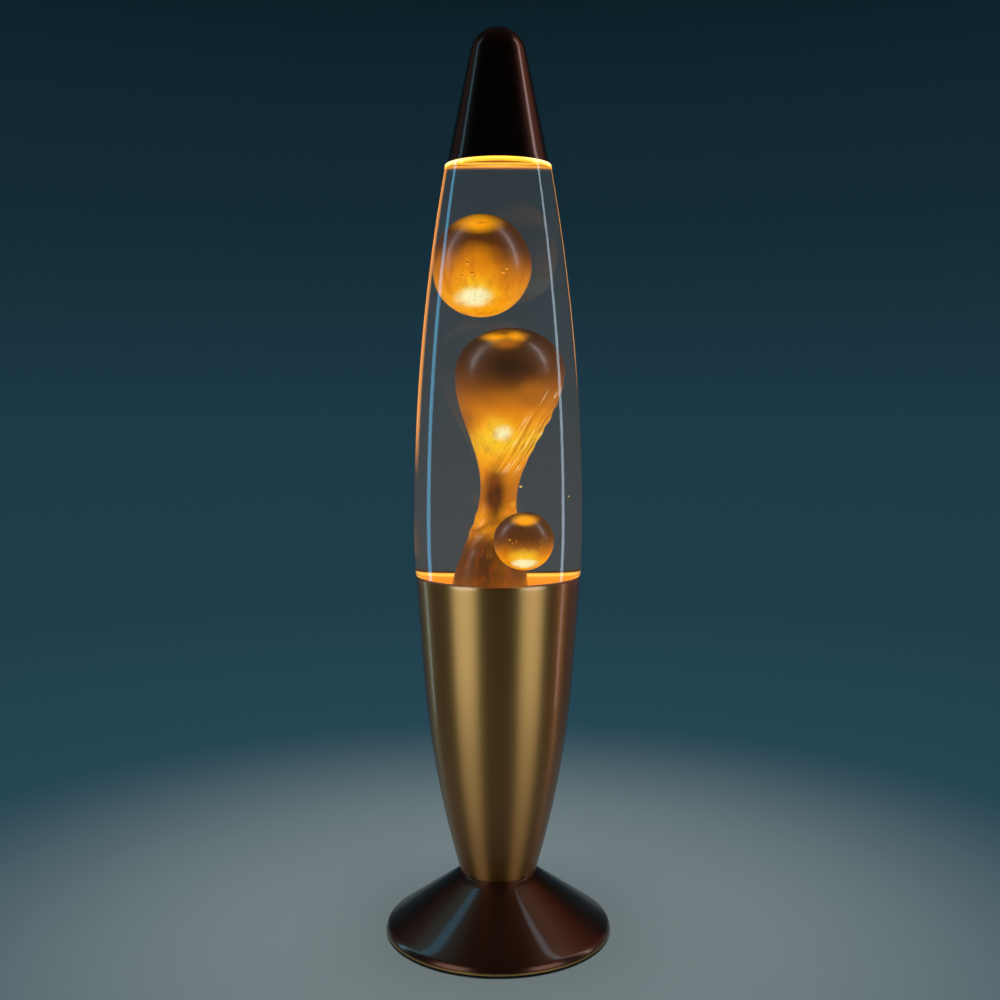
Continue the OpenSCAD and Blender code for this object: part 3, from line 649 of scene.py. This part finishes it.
def hollowPath(gap):
    inset = globe["wall"] + gap
    stepZ, roofZ = rimZ + inset, ledgeZ - inset
    path = heelPath(inset, globe["floorZ"] + globe["floor"] + gap, globe["heel"] - globe["wall"])
    path += [(nestRadius(z, inset), z) for z in steps(path[-1][1], stepZ - 0.9, 16)[1:]]
    stepLow, stepHigh = (nestRadius(stepZ, inset), stepZ - 0.9), (globeRadius(stepZ, inset), stepZ + 1.1)
    path += [between(stepLow, stepHigh, s) for s in steps(0, 1, 5)[1:-1]]
    path += [(globeRadius(z, inset), z) for z in steps(stepZ + 1.1, roofZ - 2, 72)]
    return path + eased([
        path[-1], (globeRadius(roofZ, inset), roofZ, 1.2), (shoulderR - inset, roofZ, 0.8),
        (boreR - gap, neckZ - inset, 1.2), (boreR - gap, lipZ)])[1:]


lipEdge = [(boreR + 1.0, lipZ), (boreR + 0.3, lipZ - 0.3)]
globeOutline = outerGlass + lipEdge + list(reversed(hollowPath(0.0)[:-1]))
globeShell = lathe("globeShell", globeOutline, 144, sharp=50)


def clearFinish(name, look, glow=None):
    mat, w = newFinish(name)
    at = objectPoint(w)
    sockets = {"Base Color": (noise(w, at, 12.0) * 0.5).blend(look["tint"], (1, 1, 1)), "Roughness": 0.0,
               "Transmission Weight": 1.0, "IOR": look["ior"]}
    if glow:
        sockets.update({"Emission Color": glow(w, at), "Emission Strength": 1.0})
    lampRay = w.node("ShaderNodeLightPath", None, None, "Is Shadow Ray")
    clear = w.node("ShaderNodeBsdfTransparent", None, {"Color": (*look["tint"], 1)})
    closeFinish(w, w.node("ShaderNodeMixShader", None, {0: lampRay, 1: principled(w, sockets), 2: clear}))
    return mat


# painted glow: warm light is painted on the glass at the ledge under the cap, standing in for the lit liquid
# surface mirroring the bulb, and where it stands in the body, standing in for bulb light through the wax
glassLook = {"tint": (0.985, 0.99, 0.995), "ior": 1.40}
ledgeGlow = [
    (0.0, (0, 0, 0)), (0.42, (0.006, 0.002, 0)), (0.58, (0.22, 0.07, 0.003)), (0.64, (0.95, 0.36, 0.012)),
    (0.72, (0.90, 0.34, 0.010)), (0.755, (0.10, 0.030, 0)), (0.785, (0.10, 0.030, 0)),
    (0.82, (1.0, 0.48, 0.03)), (0.90, (1.0, 0.62, 0.08)), (0.97, (1.0, 0.50, 0.03)), (1.0, (0.5, 0.16, 0))]
nestGlow = [
    (0.0, (0.03, 0.009, 0)), (0.60, (0.26, 0.072, 0.001)), (0.86, (0.55, 0.16, 0.002)),
    (0.95, (0.70, 0.22, 0.004)), (0.968, (1.0, 0.56, 0.07)), (0.988, (1.0, 0.50, 0.05)),
    (1.0, (0.02, 0.005, 0))]


def globeGlow(w, at):
    x, y, z = at.parts()
    rimLine, ledge = rimZ * mm - 0.0002, ledgeZ * mm
    ring = z.span(ledge - 0.005, ledge).ramp(ledgeGlow)
    # painted highlight: the ring's ends at the sides are brighter yellow-white
    sides = w.maths("ABSOLUTE", x).span(0.008, 0.022, True) * z.span(ledge - 0.0013, ledge - 0.0008)
    ring = sides.blend(ring, (1.0, 0.84, 0.42))
    ring = w.maths("GREATER_THAN", z, ledge - 0.00005).blend(ring, (0.10, 0.035, 0.003))
    nest = z.span(globe["floorZ"] * mm, rimLine).ramp(nestGlow)
    nest = w.maths("GREATER_THAN", z, rimLine).blend(nest, (0, 0, 0))
    return w.maths("GREATER_THAN", z, 0.25).blend(nest, ring)


settle(globeShell, "globe", "globe_glass", clearFinish("clearGlass", glassLook, globeGlow))

# the wetted inside, in metres
wetLook = {"tint": (0.995, 0.995, 0.995), "ior": 1.0, "low": 0.1285, "floor": 0.1295, "top": 0.3485}
globeShell.data.materials.append(clearFinish("wetGlass", wetLook))
for face in globeShell.data.polygons:
    spot, way = face.center, face.normal
    inside = spot.x * way.x + spot.y * way.y < 0 or spot.z < wetLook["floor"]
    if inside and wetLook["low"] < spot.z < wetLook["top"]:
        face.material_index = 1

# liquid: stands close to the glass
liquid = {"gap": 0.05, "topZ": 349.0}
topZ = liquid["topZ"]
liquidPath = [p for p in hollowPath(liquid["gap"]) if p[1] < topZ - 0.4]
edgeR = liquidPath[-1][0]
liquidPath += [(edgeR - 0.5, topZ), (edgeR - 1.5, topZ - 0.35), (edgeR * 0.5, topZ - 0.5), (0, topZ - 0.5)]
liquidBody = lathe("liquidBody", liquidPath, 144, sharp=60)
liquidLook = {"tint": (0.99, 0.975, 0.95), "ior": 1.0}


def liquidGlow(w, at):  # painted glow: a faint warm haze of bulb light, stronger over the bulb
    paintedHaze = (noise(w, at, 20.0) * 0.3 + 0.7) * at.parts()[2].span(0.36, 0.18)
    return paintedHaze.blend((0.008, 0.004, 0.001), (0.026, 0.013, 0.004))


settle(liquidBody, "globe", "liquid_fill", clearFinish("clearLiquid", liquidLook, liquidGlow))
print("globe and liquid: made")

# wax: painted light and shade as glow, in bands by height that stand in for bulb light from below and the
# shade above it, then painted patches of light and shade, the gold ones on top standing in for the reflection
# of the lit ring under the cap, in millimetres from the piece's own point
hot, yellow, gold, orange = (1.0, 0.95, 0.52), (1.0, 0.60, 0.020), (1.0, 0.37, 0.0), (0.72, 0.22, 0.0)
amber, brown, umber = (0.40, 0.115, 0.001), (0.145, 0.038, 0.0), (0.058, 0.013, 0.0)
shade, reddishGlow = (0.016, 0.004, 0.0), (0.40, 0.065, 0.0)


def waxFinish(name, origin, look):
    mat, w = newFinish(name)
    at = objectPoint(w)
    x, y, z = (part * 1000 - start for part, start in zip(at.parts(), origin))
    sway, fine = noise(w, at, 55.0, 2.0), noise(w, at, 160.0, 4.0)
    height = (z + x * look["tilt"] + (sway - 0.5) * look["sway"]).span(look["low"], look["high"])
    glow = height.ramp(look["bands"], True)
    for tone, (px, pz), (wide, tall), core, fray in look["patches"]:
        side, rise = (x - px) / wide, (z - pz) / tall
        far = w.maths("SQRT", side * side + rise * rise) + (fine - 0.5) * fray
        glow = far.span(1.0, core, True).blend(glow, tone)
    mottle = noise(w, w.point(x * 0.28, y * 0.28, z * 0.10), 1.0, 5.0, 0.65)  # drawn out along its rise
    lit = height.span(look["calm"], look["calm"] - 0.2)
    # painted light: reddish and gold mottling only in the lit lower part of the glow
    glow = (mottle.span(0.55, 0.30, True) * lit * 0.4).blend(glow, reddishGlow)
    glow = (mottle.span(0.56, 0.74, True) * lit * look["lively"]).blend(glow, gold)
    for fold in look["folds"]:  # creases that run up to the right, painted as lit and shaded streaks in the glow
        lean = fold["lean"]
        reach = z - fold["at"][1] - (x - fold["at"][0]) * lean
        grain = w.point(reach * fold["fine"], (z + x * lean) * fold["long"], y * 0.1)
        streak = noise(w, grain, 1.0, 3.0, 0.6)
        zone = reach.span(fold["wide"], 0, True) * y.span(9, -3, True)
        for end, soft in ((fold["low"], 6), (fold["high"], -6)):
            zone = zone * z.span(end, end + soft, True)
        glow = (streak.span(0.52, 0.36, True) * zone * 0.8).blend(glow, fold["dim"])
        glow = (streak.span(0.56, 0.70, True) * zone).blend(glow, fold["light"])
    closeFinish(w, principled(w, {
        "Base Color": sway.blend((0.010, 0.004, 0.001), (0.022, 0.008, 0.002)),
        "Roughness": (fine - 0.5) * 0.1 + 0.4, "Coat Weight": 0.6, "Coat Roughness": 0.2,
        "Emission Color": glow, "Emission Strength": 1.0, "Normal": relief(w, fine, 0.12, 0.0006)}))
    return mat


def blob(name, spec, rows=40, count=72):
    bm = bmesh.new()
    rings = []
    for i in range(rows + 1):
        tilt = math.pi * i / rows
        ring = []
        for k in range(1 if i in (0, rows) else count):
            turn = fullTurn * k / count
            lump = 1 + 0.012 * math.sin(3 * turn + 2.2 * tilt) * math.sin(tilt)
            lump += 0.008 * math.sin(5 * tilt - turn)
            r = spec["wide"] * math.sin(tilt) * lump
            spot = Vector((r * math.cos(turn), r * math.sin(turn), -spec["tall"] * math.cos(tilt)))
            ring.append(bm.verts.new((spot + Vector(spec["at"])) * mm))
        rings.append(ring)
    stitchRings(bm, rings)
    return smoothMesh(name, bm, 180)


upper = {
    "at": (-5.5, 0, 301.5), "wide": 16.0, "tall": 22.3, "bubble": 0.65, "seed": 3,
    "bubbles": [(-6.0, 0.7), (-7.8, -4.7), (-4.1, -3.8), (7.3, -3.2), (8.5, -1.6), (10.0, -0.1)]}
upperLook = {
    "low": -22.4, "high": 22.4, "tilt": 0.12, "sway": 6, "lively": 0.3, "calm": 0.7, "folds": [],
    "bands": [(0.0, gold), (0.20, gold), (0.36, orange), (0.50, amber), (0.61, brown), (0.71, umber),
              (0.92, umber), (1.0, shade)],
    "patches": [(orange, (-3.0, -1), (12, 13), 0.1, 0.5), (gold, (-3.0, -8), (12, 12), 0.1, 0.5),
                (yellow, (-2.2, -12), (11, 9), 0.1, 0.5), (hot, (-3.0, -13.8), (8.0, 5.6), 0.3, 0.7),
                (gold, (-1.5, 17.6), (10.4, 5.6), 0.1, 0.25), (orange, (-0.5, 18.0), (3.4, 1.0), 0.2, 0.6)]}
waxUpper = blob("waxUpper", upper)
settle(waxUpper, "wax_upper", "wax_upper_blob", waxFinish("waxUpper", upper["at"], upperLook))

lower = {
    "at": (10.13, -20.23, 183.5), "wide": 11.9, "tall": 12.5, "bubble": 0.4, "seed": 8,
    "bubbles": [(-4.3, 0.2), (-2.6, 0.8), (-5.4, 1.6)]}
lowerLook = {
    "low": -12.6, "high": 12.6, "tilt": 0.0, "sway": 4, "lively": 0.3, "calm": 0.7, "folds": [],
    "bands": [(0.0, gold), (0.15, gold), (0.28, orange), (0.40, amber), (0.50, brown), (0.62, umber),
              (0.92, umber), (1.0, shade)],
    "patches": [(yellow, (0.5, -6.5), (9.0, 5.5), 0.1, 0.5), (hot, (0.4, -8.9), (6.8, 2.7), 0.4, 0.5),
                (gold, (0.6, 9.4), (7.0, 2.8), 0.3, 0.25)]}
waxLower = blob("waxLower", lower)
settle(waxLower, "wax_lower", "wax_lower_blob", waxFinish("waxLower", lower["at"], lowerLook))

column = {"shift": -5.0, "lean": 4.0, "floorZ": 129.05, "head": 17.6, "dome": 19.0, "headUp": 127.0,
          "stalk": 5.9, "stalkUp": 73.0, "mound": 13.5, "full": 1.7}
creases = {"deep": 0.28, "pace": 0.9, "bow": 7, "headUp": 108, "headReach": 20, "stalkUp": 57,
           "stalkReach": 9}


def columnRadius(h):
    c = column
    if h <= c["stalkUp"]:
        share = (1 + math.cos(math.pi * (max(h, 0) / c["stalkUp"]) ** c["full"])) / 2
        return c["stalk"] + (c["mound"] - c["stalk"]) * share
    if h <= c["headUp"]:
        share = (h - c["stalkUp"]) / (c["headUp"] - c["stalkUp"])
        return c["stalk"] + (c["head"] - c["stalk"]) * (1 - math.cos(math.pi * share)) / 2
    return c["head"] * math.sqrt(max(0, 1 - ((h - c["headUp"]) / c["dome"]) ** 2))


def columnPoint(turn, h, r):
    c = creases
    lean = math.radians(column["lean"])
    freed = min(1, max(0, h / 40))  # the lean starts above the flat foot
    fold = math.exp(-((h - c["headUp"]) / c["headReach"]) ** 2) * max(0, math.cos(turn + 0.5))
    fold += 0.8 * math.exp(-((h - c["stalkUp"]) / c["stalkReach"]) ** 2)
    crease = c["deep"] * fold * math.sin(c["pace"] * h - c["bow"] * math.cos(turn)) if r > 2 else 0
    wide = 1 + crease / max(r, 1)
    x, y = r * math.cos(turn) * wide, r * math.sin(turn) * wide
    return Vector((column["shift"] + x * math.cos(lean) + h * math.sin(lean), y,
                   column["floorZ"] + h * math.cos(lean) - x * math.sin(lean) * freed)) * mm


rises = steps(0, column["headUp"], 128)
rises += [column["headUp"] + column["dome"] * math.sin(math.radians(a)) for a in steps(0, 87, 29)[1:]]
turns = steps(0, fullTurn, 80)[:-1]
bm = bmesh.new()
columnRings = [[bm.verts.new(columnPoint(0, 0, 0))]]
for h in rises:
    columnRings.append([bm.verts.new(columnPoint(turn, h, columnRadius(h))) for turn in turns])
columnRings.append([bm.verts.new(columnPoint(0, column["headUp"] + column["dome"], 0))])
stitchRings(bm, columnRings)
columnLook = {
    "low": 129.0, "high": 274.7, "tilt": -0.12, "sway": 10, "lively": 0.15, "calm": 0.86,
    "bands": [(0.0, gold), (0.12, orange), (0.19, amber), (0.24, brown), (0.33, umber), (0.37, brown),
              (0.40, orange), (0.43, gold), (0.46, orange), (0.50, amber), (0.56, orange), (0.61, gold),
              (0.66, yellow), (0.70, gold), (0.74, orange), (0.785, amber), (0.84, brown), (0.90, umber),
              (0.96, shade), (1.0, shade)],
    "patches": [(umber, (-1.0, 202), (5.2, 19), 0.2, 0.5), (umber, (-4.6, 171), (6.0, 14), 0.25, 0.5),
                (shade, (4.0, 258), (17, 14), 0.0, 0.35), (amber, (12.5, 246), (8, 9), 0.0, 0.6),
                (amber, (-12.5, 234), (8, 14), 0.1, 0.5), (yellow, (-0.5, 229), (9, 10), 0.1, 0.6),
                (hot, (1.6, 229.5), (5.4, 4.2), 0.0, 0.9), (gold, (-0.8, 270.4), (6.4, 2.9), 0.0, 0.6),
                (gold, (6.0, 270.8), (5.4, 3.3), 0.0, 0.6), (amber, (2.6, 268.0), (7.4, 3.4), 0.0, 0.6)],
    "folds": [{"at": (6.5, 218), "lean": 1.95, "wide": 19, "low": 210, "high": 252, "fine": 0.42,
               "long": 0.03, "light": hot, "dim": amber},
              {"at": (-7.0, 180), "lean": 0.9, "wide": 15, "low": 180, "high": 204, "fine": 0.30,
               "long": 0.05, "light": yellow, "dim": brown}]}
waxColumn = smoothMesh("waxColumn", bm, 180)
settle(waxColumn, "globe", "wax_column", waxFinish("waxColumn", (0, 0, 0), columnLook))
print("wax: made")


# drops of wax in the liquid, and bubbles in the skin of the blobs
# painted light: drops and bubbles glow dark on top and bright on their undersides, as if lit by the bulb
# below
def dropFinish(name, dark, light):
    mat, w = newFinish(name)
    lit = w.node("ShaderNodeNewGeometry", None, None, "Normal").parts()[2].span(0.6, -0.4, True)
    closeFinish(w, principled(w, {
        "Base Color": noise(w, objectPoint(w), 300.0).blend((0.02, 0.008, 0.002), (0.05, 0.02, 0.005)),
        "Roughness": 0.15, "Emission Color": lit.blend(dark, light), "Emission Strength": 1.0}))
    return mat


def addDrops(name, rider, spots, size, seed, mat):
    mesh = bpy.data.meshes.new(name)
    mesh.from_pydata([Vector(s) * mm for s in spots], [], [])
    piece = newPiece(name, mesh)
    runTree(piece, dropTree, {"Size": size * mm, "Seed": seed, "Finish": mat}, 180)
    settle(piece, rider, None)


def onSkin(spec):
    wide, tall, sunk = spec["wide"], spec["tall"], spec["bubble"] * 0.4
    spots = [(a, sunk - wide * math.sqrt(1 - (a / wide) ** 2 - (b / tall) ** 2), b)
             for a, b in spec["bubbles"]]
    return [Vector(s) + Vector(spec["at"]) for s in spots]


drops = {"spots": [(8.0, -12.0, 206.5), (25.5, -6.0, 201.5)], "size": 0.55, "seed": 4}
dropMat = dropFinish("waxDrop", (0.5, 0.32, 0.08), (0.7, 0.5, 0.2))
addDrops("looseDrops", "globe", drops["spots"], drops["size"], drops["seed"], dropMat)
bubbleMat = dropFinish("waxBubble", (0.10, 0.028, 0.0), (0.95, 0.42, 0.02))
addDrops("bubblesUpper", "wax_upper", onSkin(upper), upper["bubble"], upper["seed"], bubbleMat)
addDrops("bubblesLower", "wax_lower", onSkin(lower), lower["bubble"], lower["seed"], bubbleMat)

# which pieces each lamp lights
lampGroups = {"glass": [globeShell, liquidBody], "wax": [waxUpper, waxLower, waxColumn], "body": [bodyShell],
              "foot": [footShell], "cap": [capShell], "stage": [backdrop]}
for lampName, lampSpec in studioLamps.items():
    group = bpy.data.collections.new(lampName + "Reach")
    named = lampSpec.get("only", lampSpec.get("skips", []))
    for piece in [p for name in named for p in lampGroups[name]]:
        group.objects.link(piece)
    for entry in group.collection_objects:
        entry.light_linking.link_state = "INCLUDE" if "only" in lampSpec else "EXCLUDE"
    bpy.data.objects[lampName].light_linking.receiver_collection = group


# finishes of the inner pieces
def grey(tone):
    return tone, tone, tone


steelMat = plainFinish("platedSteel", (0.42, 0.42, 0.41), (0.62, 0.62, 0.60), 0.32, 1.0, 1200.0)
brassMat = plainFinish("plainBrass", (0.50, 0.34, 0.12), (0.72, 0.52, 0.20), 0.3, 1.0, 1200.0)
tinMat = plainFinish("tinPlate", (0.50, 0.42, 0.26), (0.68, 0.58, 0.36), 0.3, 0.9, 900.0, coat=0.3)
linerMat = plainFinish("softSeal", (0.17, 0.175, 0.185), (0.22, 0.225, 0.24), 0.6)
coverMat = plainFinish("blackPaint", grey(0.012), grey(0.022), 0.5, grain=1500.0, depth=0.0001)
rubberMat = plainFinish("blackRubber", grey(0.014), grey(0.030), 0.75, grain=1500.0, depth=0.0001)
mouldMat = plainFinish("creamMoulding", (0.66, 0.61, 0.50), (0.76, 0.72, 0.62), 0.45, grain=800.0)
vitreousMat = plainFinish("blackVitreous", (0.008, 0.008, 0.010), (0.016, 0.016, 0.018), 0.2, coat=0.4)
solderMat = plainFinish("softSolder", (0.36, 0.36, 0.35), (0.52, 0.52, 0.50), 0.42, 1.0, 700.0, 0.0002)
plainNodes = {
    "closure_liner": linerMat, "foot_cover": coverMat, "pipe_lock_washer": steelMat,
    "holder_housing": mouldMat, "contact_block": mouldMat, "centre_contact": brassMat,
    "terminal_screws": steelMat, "bulb_insulator": vitreousMat, "bulb_tip_contact": solderMat}
for nodeName, mat in plainNodes.items():
    setFinish(frame["nodes"][nodeName], mat)

# wire coil on the globe's floor
coil = {"ring": 25.2, "curl": 2.8, "curls": 24.0, "wire": 0.5, "height": 132.4}
wireCoil = newPiece("wireCoil", bpy.data.meshes.new("wireCoil"))
runTree(wireCoil, coilTree, {
    "Ring": coil["ring"] * mm, "Curl": coil["curl"] * mm, "Curls": coil["curls"], "Wire": coil["wire"] * mm,
    "Height": coil["height"] * mm, "Finish": steelMat}, 60)
settle(wireCoil, "globe", "wire_coil")

# crown closure with pressed flutes
crown = {"low": 359.4, "top": 365.4, "inner": 14.7, "flare": 1.8, "sheet": 0.4, "turn": 1.0, "flutes": 21.0,
         "depth": 1.1, "pressed": 4.2}
crownIn, crownLow, crownTop, sheet = crown["inner"], crown["low"], crown["top"], crown["sheet"]
skirtFoot = (crownIn + sheet + crown["flare"], crownLow)
skirtTop = (crownIn + sheet, crownTop - crown["turn"])
crownOutside = [between(skirtFoot, skirtTop, s) for s in steps(0, 1, 10)]
crownOutside += [(crownIn + 0.15, crownTop - 0.35), (crownIn - 0.6, crownTop), (crownIn * 0.6, crownTop),
                 (0, crownTop)]
crownInside = [(max(r - sheet, 0), z - (sheet if z > crownTop - 0.5 else 0)) for r, z in crownOutside]
crownCap = lathe("crownCap", list(reversed(crownInside)) + crownOutside, 252, sharp=60)
runTree(crownCap, fluteTree, {
    "Flutes": crown["flutes"], "Depth": crown["depth"] * mm, "Low": crownLow * mm,
    "High": (crownLow + crown["pressed"]) * mm, "Finish": tinMat}, 60)
settle(crownCap, "globe", "crown_closure")

# cord bush in the rear of the foot
bore, flangeR = bush["bore"], bushNeck + bush["flange"]
sag = flangeR ** 2 / (2 * footSlope(bush["height"]) / math.sin(footAngle)) + bush["gap"]
bushIn, bushOut = -foot["wall"] - sag, bush["gap"]
bushLow, bushTop = bushIn - bush["edge"], bushOut + bush["edge"]
cordBush = lathe("cordBush", eased([
    (bore, bushTop, 0.45), (flangeR - 0.6, bushTop, 0.5), (flangeR, bushOut, 0.12), (bushNeck, bushOut, 0.1),
    (bushNeck, bushIn, 0.1), (flangeR, bushIn, 0.3), (flangeR, bushLow, 0.3), (bore, bushLow, 0.45)],
    closed=True), 56, closed=True)
settle(onRearSlope(cordBush), "base", "cord_bush", rubberMat)

# rubber feet with a dished underside
pads = {"count": 4, "circle": 39.0, "wide": 5.0, "tall": 3.8, "first": math.radians(45)}
rubberFeet = lathe("rubberFeet", eased([
    (0, 0.9), (1.6, 0.9, 0.3), (2.2, 0.0, 0.3), (pads["wide"] - 0.5, 0.0, 0.5),
    (pads["wide"], pads["tall"], 0.2), (0, pads["tall"])]), 40)
runTree(rubberFeet, circleTree, {
    "Count": pads["count"], "Radius": pads["circle"] * mm, "First": pads["first"], "Finish": rubberMat})
settle(rubberFeet, "base", "rubber_feet")


# nuts with chamfered corners
def hexNut(name, low, high, bore, flats):
    bm = bmesh.new()
    rings = []
    flat, cut, sixth = flats * 0.47, 0.35, math.pi / 3
    for r, z in ((bore, low), (flat, low), (None, low + cut), (None, high - cut), (flat, high), (bore, high)):
        ring = []
        for turn in steps(0, fullTurn, 72)[:-1]:
            side = flats / 2 / math.cos((turn + math.pi / 6) % sixth - math.pi / 6) if r is None else r
            ring.append(bm.verts.new(around(side, z, turn)))
        rings.append(ring)
    stitchRings(bm, rings, True)
    return smoothMesh(name, bm, 20)


nuts = {"bore": 5.1, "flats": 14.0, "tall": 2.5, "lowerZ": 1.3, "upperZ": 29.8}
for nutName, nodeName, low in (("pipeNutLower", "pipe_nut_lower", nuts["lowerZ"]),
                               ("pipeNutUpper", "pipe_nut_upper", nuts["upperZ"])):
    nut = hexNut(nutName, low, low + nuts["tall"], nuts["bore"], nuts["flats"])
    settle(nut, "base", nodeName, brassMat)


# threaded pipe, sleeve and screw cap
def addThread(piece, spec, low, high, mat, sharp=75):
    runTree(piece, threadTree, {
        "Pitch": spec["pitch"] * mm, "Depth": spec["depth"] * mm, "Low": low * mm, "High": high * mm,
        "Finish": mat}, sharp)


pipe = {"low": 0.9, "high": 35.3, "wide": 5.0, "bore": 3.7, "pitch": 1.0, "depth": 0.45}
pipePath = [(pipe["bore"], pipe["low"])]
pipePath += [(pipe["wide"], z) for z in steps(pipe["low"], pipe["high"], 206)]
pipePath += [(pipe["bore"], pipe["high"])]
pipeShell = lathe("threadedPipe", pipePath, 40, closed=True)
addThread(pipeShell, pipe, pipe["low"], pipe["high"], steelMat)
settle(pipeShell, "base", "lamp_pipe")

holder = {"sleeve": 7.65, "sheet": 0.5, "low": 48.1, "high": 65.5, "pitch": 2.822, "depth": 0.3}
sleeveOut = [(holder["sleeve"], z) for z in steps(holder["low"], holder["high"], 72)]
sleeveIn = [(holder["sleeve"] - holder["sheet"], z) for z in steps(holder["high"], holder["low"], 72)]
sleeveShell = lathe("threadedSleeve", sleeveOut + sleeveIn, 48, closed=True)
addThread(sleeveShell, holder, holder["low"], holder["high"], brassMat)
settle(sleeveShell, "base", "holder_sleeve")

bulb = {"screw": 6.85, "low": 48.1, "high": 69.1, "collar": 8.5, "lead": 0.6, "pitch": 2.822, "depth": 0.6,
        "stem": 7.9, "wide": 19.5, "band": 4.0, "top": 110.3, "dome": 32.0}
flare = bulb["collar"] - bulb["screw"]
screwTop = bulb["high"] - 2 * flare
screwPath = [(0, bulb["low"]), (bulb["screw"] - bulb["lead"], bulb["low"])]
screwPath += [(bulb["screw"], z) for z in steps(bulb["low"] + bulb["lead"], screwTop, 64)]
screwPath += eased([
    screwPath[-1], (bulb["collar"], bulb["high"] - flare, 0.5), (bulb["collar"], bulb["high"], 0.3),
    (0, bulb["high"])])[1:]
screwCap = lathe("bulbScrewCap", screwPath, 56)
addThread(screwCap, bulb, bulb["low"] + 0.5, screwTop - 0.5, steelMat, 60)
settle(screwCap, "bulb", "bulb_screw_cap")

# bulb: silvered bowl with a frosted, lit face
domeRise = bulb["dome"] - math.sqrt(bulb["dome"] ** 2 - bulb["wide"] ** 2)
domeZ = bulb["top"] - domeRise
bowlZ = domeZ - bulb["band"]
envelope = eased([
    (0, bulb["high"]), (bulb["stem"], bulb["high"]), (bulb["stem"], bowlZ - bulb["wide"] + bulb["stem"], 3.5),
    (bulb["wide"], bowlZ, 4.0), (bulb["wide"], domeZ - 1.2)], count=8)
domeStart = math.degrees(math.acos(bulb["wide"] / bulb["dome"]))
envelope += arc((0, bulb["top"] - bulb["dome"]), bulb["dome"], domeStart + 3, 90, 16)[:-1]
envelope += [(0, bulb["top"])]
bulbShell = lathe("bulbEnvelope", envelope, 80, sharp=60)
bulbMat, w = newFinish("reflectorBulb")
at = objectPoint(w)
z = at.parts()[2]
front = z.span((bowlZ + 3) * mm, (bowlZ + 4.5) * mm, True)
glow = front * z.span(bowlZ * mm, bulb["top"] * mm)
closeFinish(w, principled(w, {
    "Base Color": front.blend((0.80, 0.80, 0.78), (0.85, 0.80, 0.68)), "Metallic": 0.9 - front * 0.9,
    "Roughness": front * 0.4 + noise(w, at, 500.0) * 0.1 + 0.08,
    "Emission Color": glow.blend((0, 0, 0), (1.0, 0.62, 0.22)), "Emission Strength": 1.4}))
settle(bulbShell, "bulb", "bulb_envelope", bulbMat)
print("inner pieces: made")
